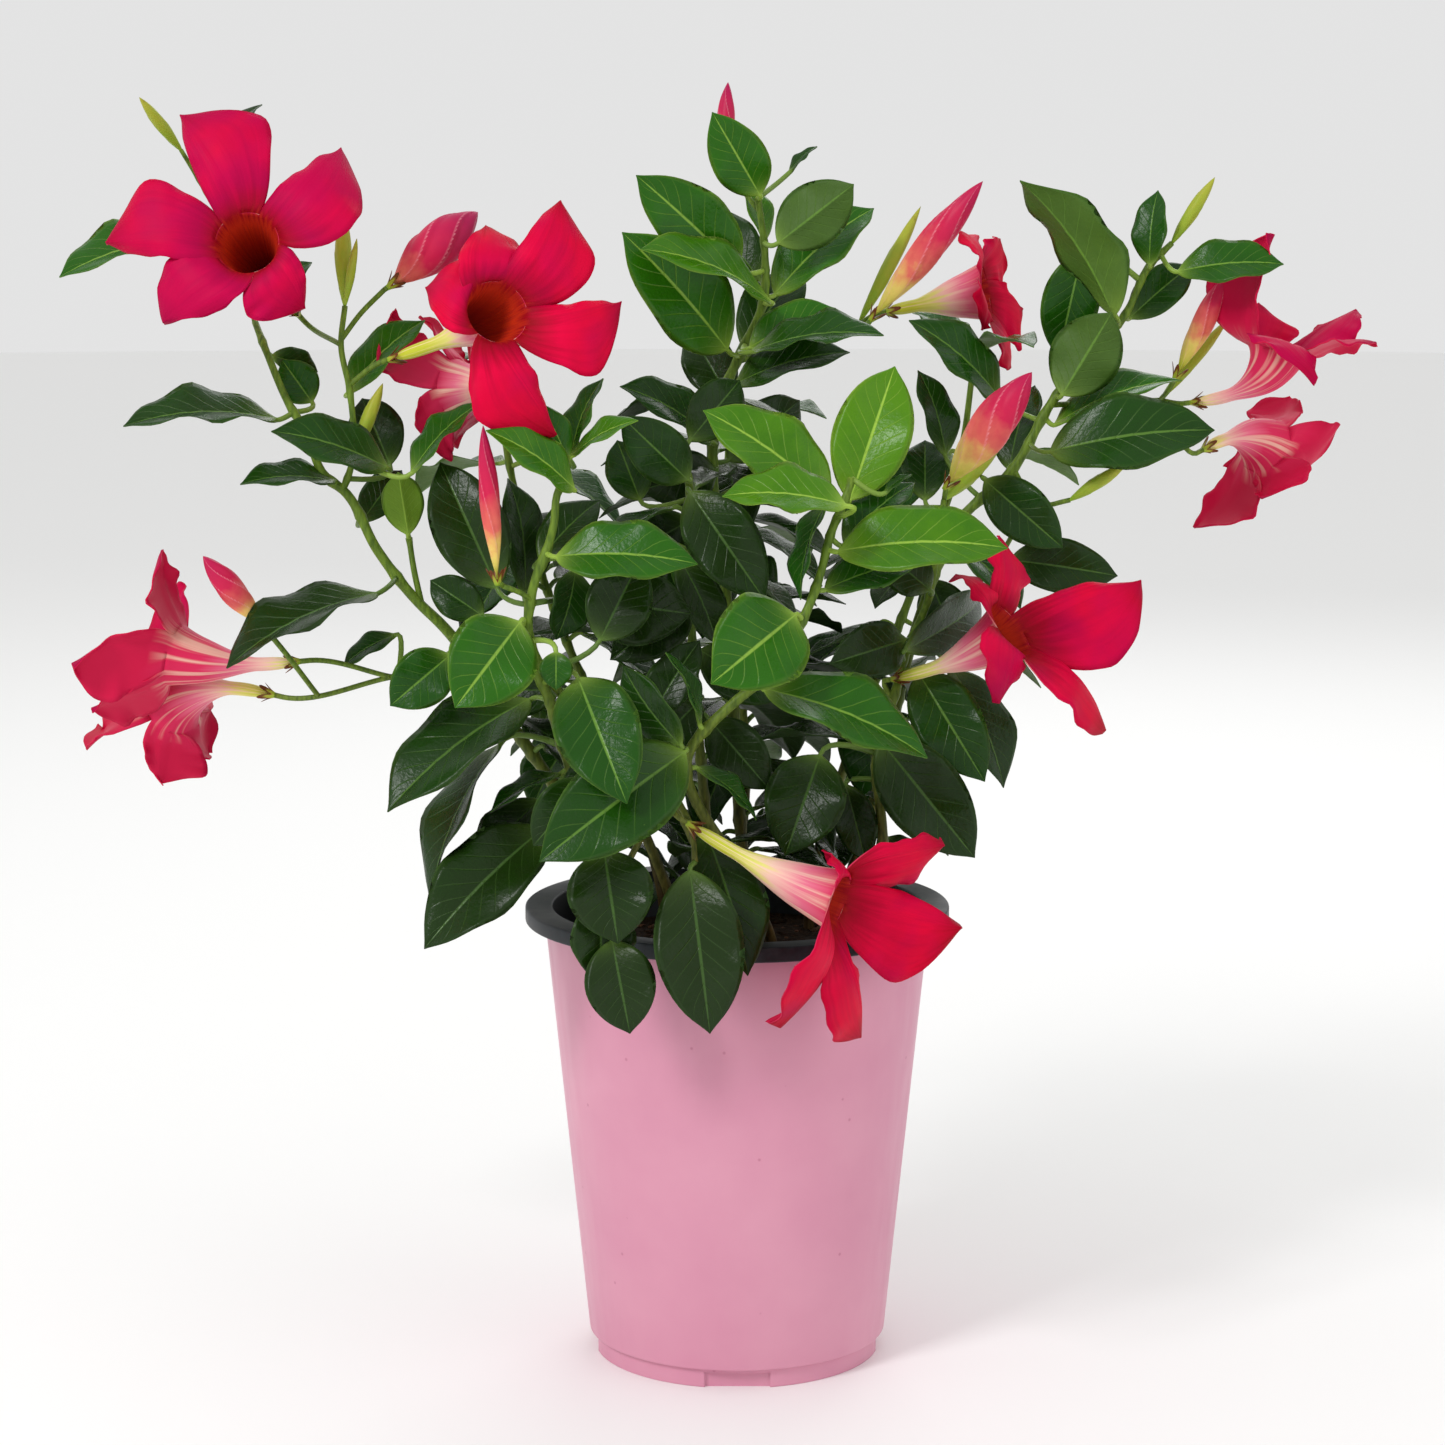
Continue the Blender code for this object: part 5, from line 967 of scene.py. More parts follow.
def back_leaves(line, pairs):
    """Opposite leaves on a hidden stem, each pair turned from the last and drooping by its own slope."""
    for share, bearing, length, droop in pairs:
        node, heading = point_along(line, share)
        for half in (0, 1):
            angle = math.radians(bearing + 180 * half + 14 * math.sin(7 * share + 2 * half))
            flat = np.array((math.cos(angle), math.sin(angle), 0))
            base = node + unit(flat + 0.6 * heading) * BACK_PETIOLE
            outward = unit(flat - np.array((0, 0, droop + 0.25 * half)))
            size = length * (1 - 0.1 * half) * MM
            normal = unit(np.cross(np.cross(outward, (0, 0, 1)), outward))
            yield (base, base + outward * size, normal, LEAF_ASPECT * size / 2), 0.95 - 0.6 * share


def hung(stems, joint, base, heading):
    """Adds the stalk of a bloom or bud to a shoot's stems, and gives back the middle of its sepals."""
    seat = base - heading * SEPAL_SEAT
    root = nearest([flowing(points, (1, 1))[0] for _, _, points in stems], joint)
    line = [root, seat - heading * STALK_END, seat]
    if np.linalg.norm(seat - root) < 1.6 * STALK_END:
        line = [root, seat]
    stems.append((*STALK_RADII, line))
    return seat, heading


# How far a bloom's facing follows the way from base to mouth, over how much of that way its tube bends, and
# how far some mouths turn from the viewer.
TUBE_PULL = 0.7
TUBE_BEND = 0.45
MOUTH_TURNS = {"bloom_6": 0.95, "bloom_7": 0.75, "bloom_9": 1.1}


def bloom_frame(base, mouth, tips, turn):
    """The mouth's facing, its two axes, the roll of its lobes, and the tips in order round it.

    The facing lies between the normal of the five tips and the way from base to mouth, and turns away from
    the viewer by a share of its length.
    """
    facing = unit(sum(np.cross(tips[i] - mouth, tips[(i + 1) % LOBES] - mouth) for i in range(LOBES)))
    facing = facing * np.sign(facing @ (mouth - base))
    facing = unit(facing + TUBE_PULL * unit(mouth - base) + (0, turn, 0))
    first = unit(np.cross(facing, (0.3, 0.1, 1.0)))
    second = np.cross(facing, first)
    bearings = [math.atan2((tip - mouth) @ second, (tip - mouth) @ first) for tip in tips]
    order = np.argsort(bearings)
    rolls = [bearings[index] - 2 * math.pi * rank / LOBES for rank, index in enumerate(order)]
    roll = float(np.mean(rolls))
    return facing, first, second, roll, [tips[index] for index in order]


# Leaf: a living leaf with a waxy cuticle. The upper side is glossy, darker with age, with a pale sunken
# midrib and fine side veins. The underside is dull and olive. Young leaves are lime.
VEIN_HALF_WIDTH = 0.07
MIDRIB_HALF_WIDTH = 0.05
BLOTCH_SIZE = 14 * MM
CUTICLE_GRAIN = 1.6 * MM

waxy_leaf, tree, shader = new_material("waxy_leaf", {"Roughness": 0.34, "Specular IOR Level": 0.2})
blade = add_node(tree, "ShaderNodeSeparateXYZ", {"Vector": add_node(
    tree, "ShaderNodeAttribute", {}, attribute_name="blade").outputs["Vector"]}).outputs
growth = add_node(tree, "ShaderNodeSeparateXYZ", {"Vector": add_node(
    tree, "ShaderNodeAttribute", {}, attribute_name="growth").outputs["Vector"]}).outputs
on_leaf = add_node(tree, "ShaderNodeTexCoord", {}).outputs["Object"]
blotches = add_node(tree, "ShaderNodeTexNoise", {
    "Vector": on_leaf, "Scale": 1 / BLOTCH_SIZE, "Detail": 4.0, "Roughness": 0.6}).outputs["Fac"]
uneven = add_node(tree, "ShaderNodeMath", {0: blotches, 1: 0.28, 2: -0.14}, operation="MULTIPLY_ADD")
own_age = add_node(tree, "ShaderNodeMath", {0: growth["Z"], 1: 0.1, 2: uneven.outputs[0]},
                   operation="MULTIPLY_ADD")
age = add_node(tree, "ShaderNodeMath", {0: growth["X"], 1: own_age.outputs[0]}, operation="ADD").outputs[0]
upper_green = add_node(tree, "ShaderNodeValToRGB", {"Fac": age}, stops=(
    (0.0, "#4e8108"), (0.22, "#276006"), (0.5, "#1a4a06"), (0.78, "#183a07"), (1.0, "#192e08"),
)).outputs["Color"]
under_green = add_node(tree, "ShaderNodeValToRGB", {"Fac": age}, stops=(
    (0.0, "#759a2a"), (0.5, "#4a6a24"), (1.0, "#2f4720"))).outputs["Color"]
from_midrib = add_node(tree, "ShaderNodeMath", {0: blade["X"]}, operation="ABSOLUTE").outputs[0]
slant = add_node(tree, "ShaderNodeMath", {0: from_midrib, 1: 0.8}, operation="POWER").outputs[0]
slanted = add_node(tree, "ShaderNodeMath", {0: slant, 1: -VEIN_SLANT, 2: growth["Z"]},
                   operation="MULTIPLY_ADD")
run = add_node(tree, "ShaderNodeMath", {0: blade["Y"], 1: VEIN_PAIRS, 2: slanted.outputs[0]},
               operation="MULTIPLY_ADD").outputs[0]
to_vein = add_node(tree, "ShaderNodeMath", {0: run, 1: 0.5}, operation="PINGPONG").outputs[0]
side_vein = add_node(tree, "ShaderNodeMapRange", {
    "Value": to_vein, "From Min": 0.0, "From Max": VEIN_HALF_WIDTH, "To Min": 1.0, "To Max": 0.0},
    interpolation_type="SMOOTHSTEP").outputs["Result"]
fading = add_node(tree, "ShaderNodeMapRange", {
    "Value": from_midrib, "From Min": 0.35, "From Max": 0.95, "To Min": 1.0, "To Max": 0.0}).outputs["Result"]
side_vein = add_node(tree, "ShaderNodeMath", {0: side_vein, 1: fading}, operation="MULTIPLY").outputs[0]
midrib = add_node(tree, "ShaderNodeMapRange", {
    "Value": from_midrib, "From Min": 0.35 * MIDRIB_HALF_WIDTH, "From Max": MIDRIB_HALF_WIDTH,
    "To Min": 1.0, "To Max": 0.0}, interpolation_type="SMOOTHSTEP").outputs["Result"]
pale = add_node(tree, "ShaderNodeValToRGB", {"Fac": age}, stops=(
    (0.0, "#a8cc4e"), (0.5, "#6f9a3a"), (1.0, "#43622c"))).outputs["Color"]
vein_share = add_node(tree, "ShaderNodeMath", {0: side_vein, 1: 0.3}, operation="MULTIPLY").outputs[0]
midrib_share = add_node(tree, "ShaderNodeMath", {0: midrib, 1: 0.75}, operation="MULTIPLY").outputs[0]
vein_share = add_node(tree, "ShaderNodeMath", {0: vein_share, 1: midrib_share},
                      operation="MAXIMUM").outputs[0]
margin = add_node(tree, "ShaderNodeMapRange", {
    "Value": from_midrib, "From Min": 0.94, "From Max": 0.99, "To Min": 0.0, "To Max": 0.5}).outputs["Result"]
vein_share = add_node(tree, "ShaderNodeMath", {0: vein_share, 1: margin}, operation="MAXIMUM").outputs[0]
side_colour = add_node(tree, "ShaderNodeMix", {
    MIX_FACTOR: blade["Z"], MIX_A: upper_green, MIX_B: under_green}, data_type="RGBA").outputs[MIX_RESULT]
veined = add_node(tree, "ShaderNodeMix", {MIX_FACTOR: vein_share, MIX_A: side_colour, MIX_B: pale},
                  data_type="RGBA").outputs[MIX_RESULT]
stalk_green = add_node(tree, "ShaderNodeMix", {
    MIX_FACTOR: age, MIX_A: linear("#a2c24c"), MIX_B: linear("#5d7a35")},
    data_type="RGBA").outputs[MIX_RESULT]
leaf_colour = add_node(tree, "ShaderNodeMix", {MIX_FACTOR: growth["Y"], MIX_A: veined, MIX_B: stalk_green},
                       data_type="RGBA").outputs[MIX_RESULT]
tree.links.new(leaf_colour, shader.inputs["Base Color"])
cuticle = add_node(tree, "ShaderNodeTexNoise", {
    "Vector": on_leaf, "Scale": 1 / CUTICLE_GRAIN, "Detail": 3.0})
gloss = add_node(tree, "ShaderNodeMath", {0: blotches, 1: 0.3, 2: 0.12}, operation="MULTIPLY_ADD")
duller = add_node(tree, "ShaderNodeMath", {0: blade["Z"], 1: 0.25, 2: gloss.outputs[0]},
                  operation="MULTIPLY_ADD")
tree.links.new(duller.outputs[0], shader.inputs["Roughness"])
sunk = add_node(tree, "ShaderNodeMath", {0: side_vein, 1: -0.8, 2: cuticle.outputs["Fac"]},
                operation="MULTIPLY_ADD")
relief = add_node(tree, "ShaderNodeBump", {
    "Height": sunk.outputs[0], "Strength": 0.55, "Distance": 0.35 * MM})
tree.links.new(relief.outputs["Normal"], shader.inputs["Normal"])

# Stem: green and smooth where it is young, and brown with fine cork streaks where it leaves the soil.
CORK_STREAK = 1.4 * MM

living_stem, tree, shader = new_material("living_stem", {"Roughness": 0.5, "Specular IOR Level": 0.25})
growth = add_node(tree, "ShaderNodeSeparateXYZ", {"Vector": add_node(
    tree, "ShaderNodeAttribute", {}, attribute_name="growth").outputs["Vector"]}).outputs
on_stem = add_node(tree, "ShaderNodeTexCoord", {}).outputs["Object"]
streaks = add_node(tree, "ShaderNodeTexNoise", {"Vector": add_node(
    tree, "ShaderNodeMapping", {"Vector": on_stem, "Scale": (1, 1, 0.2)}).outputs["Vector"],
    "Scale": 1 / CORK_STREAK, "Detail": 4.0}).outputs["Fac"]
fresh = add_node(tree, "ShaderNodeValToRGB", {"Fac": streaks},
                 stops=((0.3, "#48621a"), (0.7, "#74902c"))).outputs["Color"]
cork = add_node(tree, "ShaderNodeValToRGB", {"Fac": streaks},
                stops=((0.3, "#33260f"), (0.7, "#6b5530"))).outputs["Color"]
stem_colour = add_node(tree, "ShaderNodeMix", {MIX_FACTOR: growth["X"], MIX_A: fresh, MIX_B: cork},
                       data_type="RGBA").outputs[MIX_RESULT]
tree.links.new(stem_colour, shader.inputs["Base Color"])
bark = add_node(tree, "ShaderNodeBump", {"Height": streaks, "Strength": 0.4, "Distance": 0.4 * MM})
tree.links.new(bark.outputs["Normal"], shader.inputs["Normal"])

# Sepal and green bud: thin green tissue, flushed red brown towards the points.
SEPAL_MOTTLE = 3 * MM

flushed_sepal, tree, shader = new_material("flushed_sepal", {"Roughness": 0.45, "Specular IOR Level": 0.25})
growth = add_node(tree, "ShaderNodeSeparateXYZ", {"Vector": add_node(
    tree, "ShaderNodeAttribute", {}, attribute_name="growth").outputs["Vector"]}).outputs
on_sepal = add_node(tree, "ShaderNodeTexCoord", {}).outputs["Object"]
mottle = add_node(tree, "ShaderNodeTexNoise", {"Vector": on_sepal, "Scale": 1 / SEPAL_MOTTLE, "Detail": 3.0})
flush = add_node(tree, "ShaderNodeMath", {0: mottle.outputs["Fac"], 1: 0.5, 2: growth["X"]},
                 operation="MULTIPLY_ADD")
flush = add_node(tree, "ShaderNodeMath", {0: growth["Y"], 1: 0.55, 2: flush.outputs[0]},
                 operation="MULTIPLY_ADD")
sepal_colour = add_node(tree, "ShaderNodeValToRGB", {"Fac": flush.outputs[0]},
                        stops=((0.2, "#86ac2a"), (0.75, "#a6a834"), (1.05, "#6e3a18")))
tree.links.new(sepal_colour.outputs["Color"], shader.inputs["Base Color"])


def packed_points(name, digits):
    """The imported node's points in metres, rounded to that many digits, without those that repeat."""
    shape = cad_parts[name].data
    coordinates = np.empty(3 * len(shape.vertices))
    shape.vertices.foreach_get("co", coordinates)
    return np.unique(coordinates.reshape(-1, 3).round(digits), axis=0)


# Stems run up from the foot in the mix. The stalks of blooms and buds are added behind them.
shoot_stems = {}
stalk_starts = {}
for name, shoot in SHOOTS.items():
    x, y = np.array(shoot["foot"]) * MM
    foot = [np.array((x, y, STEM_FOOT)), np.array((x, y, SOIL_SURFACE))]
    stems = [(start, end, list(points)) for start, end, points in shoot["stems"]]
    stems[0] = (*stems[0][:2], foot + stems[0][2])
    shoot_stems[name] = stems
    stalk_starts[name] = len(stems)

sepals = {name: [] for name in SHOOTS}
blooms = {}
for name, (shoot, joint, base_row, mouth_row, tip_rows) in BLOOMS.items():
    base = place(*base_row)
    mouth = place(*mouth_row)
    tips = [place(*row) for row in tip_rows]
    blooms[name] = (base, mouth, bloom_frame(base, mouth, tips, MOUTH_TURNS.get(name, 0)))
    facing = blooms[name][2][0]
    heading = unit(mouth - facing * TUBE_BEND * np.linalg.norm(mouth - base) - base)
    sepals[shoot].append(hung(shoot_stems[shoot], place(*joint), base, heading))
for name, (shoot, joint, base_row, tip_row, _) in BUDS.items():
    base = place(*base_row)
    sepals[shoot].append(hung(shoot_stems[shoot], place(*joint), base, unit(place(*tip_row) - base)))

# The heart of the plant is dense with old leaves. Pairs are tried along every stem, and those that lie
# within the heart, seen from the front, and clear of all other leaves, blooms and buds are kept.
HEART_MIDDLE_PX = (712, 650)
HEART_REACH_PX = 268
HEART_FLOOR = 190 * MM
HEART_DEPTHS = (-60 * MM, 112 * MM)
INNER_STEP = 3
BARE_ENDS = (3, 4)
INNER_YOUNGEST = 0.8
INNER_LENGTHS = (34 * MM, 56 * MM)
INNER_CLEARANCE = 3.8 * MM
INNER_PETIOLE = 9 * MM


def seen_at(points):
    """Pixels of the photograph at which places are seen."""
    away = points - EYE
    ahead = away @ np.array((0, math.cos(EYE_PITCH), -math.sin(EYE_PITCH)))
    above = away @ np.array((0, math.sin(EYE_PITCH), math.cos(EYE_PITCH)))
    return PHOTO_CENTRE_PX + PHOTO_FOCAL_PX * np.stack((away[..., 0], -above), axis=-1) / ahead[..., None]


def blade_samples(leaf):
    """Places spread over a blade, on its midrib and halfway and all the way to both margins."""
    share = np.linspace(0.05, 1, 8)
    spine = spine_of(leaf, share)[0]
    margins = margin_points(leaf, share)
    return np.concatenate((spine, margins, (margins + np.tile(spine, (2, 1))) / 2))


chance = np.random.default_rng(5)
growths = {}
taken = [packed_points(name, 4) for name in (*BLOOMS, *BUDS)]
for name, stems in shoot_stems.items():
    drawn = [flowing(points, (start * STEM_SLIMMING, end * STEM_SLIMMING)) for start, end, points in stems]
    lines = [line for line, _ in drawn[:stalk_starts[name]]]
    wanted = list(seen_leaves(LEAVES.get(name, []), LEAF_AGES.get(name, "")))
    wanted += list(back_leaves(np.array(stems[0][2]), BACK_PAIRS.get(name, [])))
    packed = packed_points(name, 6)
    skins = []
    joints = []
    for leaf, leaf_age in wanted:
        own = chance.random()
        leaf = settled(leaf, packed)
        if leaf is None:
            continue
        joints.append(nearest(lines, leaf[0]))
        skins.append(leaf_skin(joints[-1], leaf, leaf_age, own))
        taken.append(blade_samples(leaf))
    growths[name] = (drawn, lines, joints, skins)
taken = np.concatenate(taken)

for name, (drawn, lines, joints, skins) in growths.items():
    for line in lines:
        headings = unit(np.gradient(line, axis=0))
        for number in range(BARE_ENDS[0], len(line) - BARE_ENDS[1], INNER_STEP):
            turn = chance.random() * math.pi
            for bearing in (turn, turn + math.pi):
                flat = np.array((math.cos(bearing), math.sin(bearing), 0))
                length = chance.uniform(*INNER_LENGTHS)
                outward = unit(flat + (0, 0, chance.uniform(-0.9, 0.1)))
                base = line[number] + unit(flat + 0.5 * headings[number]) * INNER_PETIOLE
                normal = unit(np.cross(np.cross(outward, (0, 0, 1)), outward))
                leaf = (base, base + outward * length, normal, LEAF_ASPECT * length / 2)
                samples = blade_samples(leaf)
                own = chance.random()
                from_middle = np.linalg.norm(seen_at(samples) - HEART_MIDDLE_PX, axis=1).max()
                if from_middle > HEART_REACH_PX or samples[:, 2].min() < HEART_FLOOR:
                    continue
                if samples[:, 1].min() < HEART_DEPTHS[0] or samples[:, 1].max() > HEART_DEPTHS[1]:
                    continue
                if np.linalg.norm(samples[:, None] - taken, axis=2).min() < INNER_CLEARANCE:
                    continue
                leaf_age = INNER_YOUNGEST + (1 - INNER_YOUNGEST) * own
                skins.append(leaf_skin(line[number], leaf, leaf_age, own))
                joints.append(line[number])
                taken = np.concatenate((taken, samples))
    for line, radius in drawn:
        rise = np.clip((line[:, 2] - SOIL_SURFACE) / WOODY_HEIGHT, 0, 1)
        skins.append(stem_skin(line, radius, joints, 1 - rise))
    for seat, heading in sepals[name]:
        skins.append(sepal_crown(seat, heading))
    for base_row, tip_row, width_px in GREEN_BUDS.get(name, []):
        base = place(*base_row)
        root = nearest(lines, base)
        tip = place(*tip_row)
        width = width_px * np.linalg.norm(base - EYE) / PHOTO_FOCAL_PX
        sunk_root = root - unit(tip - root) * GREEN_BUD_SUNK
        skins.append(spindle(sunk_root, tip, width, *GREEN_BUD_GRID, 2, chance.random()))
    foliage = make_piece(f"{name}_growth", skins, [waxy_leaf, living_stem, flushed_sepal])
    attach(foliage, "root")
    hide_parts(name)


# Coloured buds. Each is a long bud about to open: five petals wound round each other to a point, yellow
# green at the foot and red at the tip, with a pale line along each overlap. It sits in its sepals on its
# stalk.

BUD_GRID = (60, 48)
BUD_MOTTLE = 5 * MM

# How far down the red reaches on each bud, from nearly open ones to tight green ones.
BUD_REDNESS = {
    "bud_1": 1.0,
    "bud_2": 0.5,
    "bud_3": 0.55,
    "bud_4": 0.75,
    "bud_5": 0.45,
    "bud_6": 0.4,
    "bud_7": 0.3,
}

# Wound petals: satin tissue whose red starts above the green foot and pales along each overlap.
wound_petals, tree, shader = new_material("wound_petals", {"Roughness": 0.45, "Specular IOR Level": 0.2})
bud = add_node(tree, "ShaderNodeSeparateXYZ", {"Vector": add_node(
    tree, "ShaderNodeAttribute", {}, attribute_name="bud").outputs["Vector"]}).outputs
on_bud = add_node(tree, "ShaderNodeTexCoord", {}).outputs["Object"]
mottle = add_node(tree, "ShaderNodeTexNoise", {"Vector": on_bud, "Scale": 1 / BUD_MOTTLE, "Detail": 4.0})
climb = add_node(tree, "ShaderNodeMath", {0: mottle.outputs["Fac"], 1: 0.3, 2: bud["Y"]},
                 operation="MULTIPLY_ADD")
climb = add_node(tree, "ShaderNodeMath", {0: bud["Z"], 1: 0.55, 2: climb.outputs[0]},
                 operation="MULTIPLY_ADD")
climb = add_node(tree, "ShaderNodeMath", {0: climb.outputs[0], 1: 0.6}, operation="MULTIPLY")
petal_red = add_node(tree, "ShaderNodeValToRGB", {"Fac": climb.outputs[0]}, stops=(
    (0.22, "#b2bc36"), (0.36, "#e4c868"), (0.47, "#de6a5c"), (0.62, "#cb1d4a"), (0.95, "#a4074a")))
rim = add_node(tree, "ShaderNodeMapRange", {
    "Value": bud["X"], "From Min": 0.86, "From Max": 1.0, "To Min": 0.0, "To Max": 0.6})
bud_colour = add_node(tree, "ShaderNodeMix", {
    MIX_FACTOR: rim.outputs["Result"], MIX_A: petal_red.outputs["Color"], MIX_B: linear("#eda4b0")},
    data_type="RGBA")
tree.links.new(bud_colour.outputs[MIX_RESULT], shader.inputs["Base Color"])

for name, (_, _, base_row, tip_row, width_px) in BUDS.items():
    base = place(*base_row)
    width = width_px * np.linalg.norm(base - EYE) / PHOTO_FOCAL_PX
    skin = spindle(base, place(*tip_row), width, *BUD_GRID, 0, BUD_REDNESS[name])
    bud = make_piece(f"{name}_wound_petals", [skin], [wound_petals])
    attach(bud, "root")
    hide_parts(name)


# Blooms. Each bloom is one corolla: a narrow tube opens into a goblet, and five broad lobes spread from its
# mouth, each fuller on one side like a pinwheel. Outside it is pink with cream stripes above a yellow foot.

TUBE_ROWS = 34
LOBE_COLUMNS = 16
LOBE_ROWS = 28
TUBE_FOOT = 2.4 * MM
GOBLET_SPREAD = 7.2 * MM
MOUTH_FLARE = 2.4 * MM
MOUTH_RADIUS = 12.0 * MM
LOBE_LENGTH = 38 * MM
FULL_SIDE = 0.54
STRAIGHT_SIDE = 0.15
POINT_WIDTH = 0.07
WIDEST = 0.7
RUFFLE_HEIGHT = 1.6 * MM
CREASE_DEPTH = 0.6 * MM
PETAL_THICKNESS = 0.5 * MM
STRIPE_WIDTH = 3.375 * MM
PETAL_VEIN = 1.0 * MM
PETAL_MOTTLE = 9 * MM
# Size of the magenta patches on the petal faces, partly their own tint and partly painted sheen.
PETAL_PATCH = 26 * MM
POLLEN_GRAIN = 0.6 * MM
ANTHER_WIDTH = 4.2 * MM
ANTHER_SHARES = (0.3, 0.56)
ANTHER_GRID = (20, 14)


def smooth_step(start, end, value):
    """0 before the start and 1 after the end, with t^2 (3 - 2t) between."""
    share = np.clip((value - start) / (end - start), 0, 1)
    return share * share * (3 - 2 * share)


def tube_surface(bloom, bearing, share):
    """Rings round a bent line from base to mouth, which turn to face as the mouth does.

    The radius adds up the narrow tube, 1 - exp(-s/0.05) of its size, the goblet, a smooth step to the power
    0.8, and the mouth's flare, the square of the last quarter.
    """
    base, mouth, (facing, first, _, _, _) = bloom
    bend = mouth - facing * TUBE_BEND * np.linalg.norm(mouth - base)
    spine = bezier((base, bend, mouth), share)
    heading = unit(2 * (1 - share)[..., None] * (bend - base) + 2 * share[..., None] * (mouth - bend))
    axis_a = unit(first - (heading @ first)[..., None] * heading)
    axis_b = np.cross(heading, axis_a)
    radius = TUBE_FOOT * (1 - np.exp(-share / 0.05)) + GOBLET_SPREAD * smooth_step(0.28, 0.92, share) ** 0.8
    radius = radius + MOUTH_FLARE * np.clip((share - 0.75) / 0.25, 0, 1) ** 2
    ring = np.cos(bearing)[..., None] * axis_a + np.sin(bearing)[..., None] * axis_b
    return spine + radius[..., None] * ring


def lobe_surface(bloom, index, across, along, chance):
    """A lobe on a bent line from the mouth's ring to its tip, a sharp corner at one side of its end.

    The side that ends in the corner is nearly straight, sin(pi t^0.9) of its bulge. The other side is full,
    between two forms by lobe: a rounded one, sin(pi t^0.95)^0.75, and one cut off aslant, the smooth minimum
    of a rise (t/w)^0.8 and a fall ((1-t)/(1-w))^0.75. The margins are ruffled by sines that grow with the
    cube of the distance from the crease, and they and the tip curl back.
    """
    base, mouth, (facing, first, second, roll, tips) = bloom
    middle = roll + 2 * math.pi * index / LOBES
    ring = tube_surface(bloom, middle + across * math.pi / LOBES, np.ones_like(across))
    start = tube_surface(bloom, np.array([middle]), np.array([1.0]))[0]
    tip = tips[index]
    length = np.linalg.norm(tip - start)
    outward = unit(math.cos(middle) * first + math.sin(middle) * second)
    drawn = start + unit(outward * 0.8 + facing * 0.6) * length * 0.42
    spine = bezier((start, drawn, tip), along)
    sideways = unit(np.cross(facing, tip - mouth))
    back = unit(np.cross(sideways, tip - start))
    back = back * np.sign(-back @ facing)
    at_mouth = MOUTH_RADIUS * math.sin(math.pi / LOBES)
    grown = max(length, LOBE_LENGTH)
    phase = 2 * math.pi * (chance + 0.37 * index)
    rising = np.clip(along / WIDEST, 1e-3, None) ** 0.8
    falling = np.clip((1 - along) / (1 - WIDEST), 1e-3, None) ** 0.75
    aslant = (rising ** -6 + falling ** -6) ** (-1 / 6)
    rounded_off = 0.86 * np.clip(np.sin(math.pi * along ** 0.95), 0, 1) ** 0.75
    cut = 0.5 + 0.5 * math.sin(2 * phase + 0.8)
    point = POINT_WIDTH * grown * np.clip((1 - along) / 0.16, 0, 1) * smooth_step(0.3, 0.8, along)
    full = FULL_SIDE * grown * (cut * aslant + (1 - cut) * rounded_off) + point
    straight = STRAIGHT_SIDE * grown * np.sin(math.pi * along ** 0.9) + 0.5 * point
    width = at_mouth * (1 - along) ** 2 + np.where(across > 0, straight, full)
    offset = across * width
    ruffle = np.abs(across) ** 3 * smooth_step(0.15, 0.6, along) * (
        np.sin(2 * math.pi * 1.9 * along + phase + np.where(across > 0, 1.7, 0))
        + 0.5 * np.sin(2 * math.pi * 4.3 * along - phase))
    crease = CREASE_DEPTH * np.exp(-(across * width / (2 * MM)) ** 2) * smooth_step(0, 0.2, along)
    curl = 0.08 * length * across ** 2 * along + 0.07 * length * along ** 4
    hump = 0.05 * length * np.sin(math.pi * along) * (1 - across ** 2)
    lift = curl + crease - hump + RUFFLE_HEIGHT * ruffle
    meets = ring - (start + (across * at_mouth)[..., None] * sideways)
    return (spine + offset[..., None] * sideways + lift[..., None] * back
            + (1 - along)[..., None] ** 2 * meets)


# Back of the petals: satin tissue, yellow green at the foot, then cream with pink stripes, then rose.
petal_back, tree, shader = new_material("petal_back", {"Roughness": 0.5, "Specular IOR Level": 0.15})
petal = add_node(tree, "ShaderNodeSeparateXYZ", {"Vector": add_node(
    tree, "ShaderNodeAttribute", {}, attribute_name="petal").outputs["Vector"]}).outputs
round_tube = add_node(tree, "ShaderNodeAttribute", {}, attribute_name="round_tube").outputs["Vector"]
drawn_out = add_node(tree, "ShaderNodeMapping", {
    "Vector": round_tube, "Scale": (1, 1, 0.12)}).outputs["Vector"]
stripes = add_node(tree, "ShaderNodeTexNoise", {
    "Vector": drawn_out, "Scale": MOUTH_RADIUS / STRIPE_WIDTH, "Detail": 3.0}).outputs["Fac"]
climb = add_node(tree, "ShaderNodeMath", {0: stripes, 1: 0.5, 2: petal["Y"]},
                 operation="MULTIPLY_ADD").outputs[0]
climb = add_node(tree, "ShaderNodeMath", {0: petal["Z"], 1: 0.5, 2: climb},
                 operation="MULTIPLY_ADD").outputs[0]
climb = add_node(tree, "ShaderNodeMath", {0: climb, 1: 0.45}, operation="MULTIPLY").outputs[0]
rose = add_node(tree, "ShaderNodeValToRGB", {"Fac": climb}, stops=(
    (0.2, "#c3c93a"), (0.3, "#e4dc7c"), (0.36, "#efbcae"), (0.45, "#e4708c"), (0.57, "#d42a58"),
    (0.85, "#c90f42"))).outputs["Color"]
stripe = add_node(tree, "ShaderNodeMapRange", {
    "Value": stripes, "From Min": 0.5, "From Max": 0.66, "To Min": 0.0, "To Max": 0.75},
    interpolation_type="SMOOTHSTEP").outputs["Result"]
ends = add_node(tree, "ShaderNodeMapRange", {
    "Value": petal["Y"], "From Min": 0.9, "From Max": 1.25, "To Min": 1.0, "To Max": 0.0}).outputs["Result"]
plain = add_node(tree, "ShaderNodeMath", {0: petal["Z"], 1: -0.3, 2: 1.0},
                 operation="MULTIPLY_ADD").outputs[0]
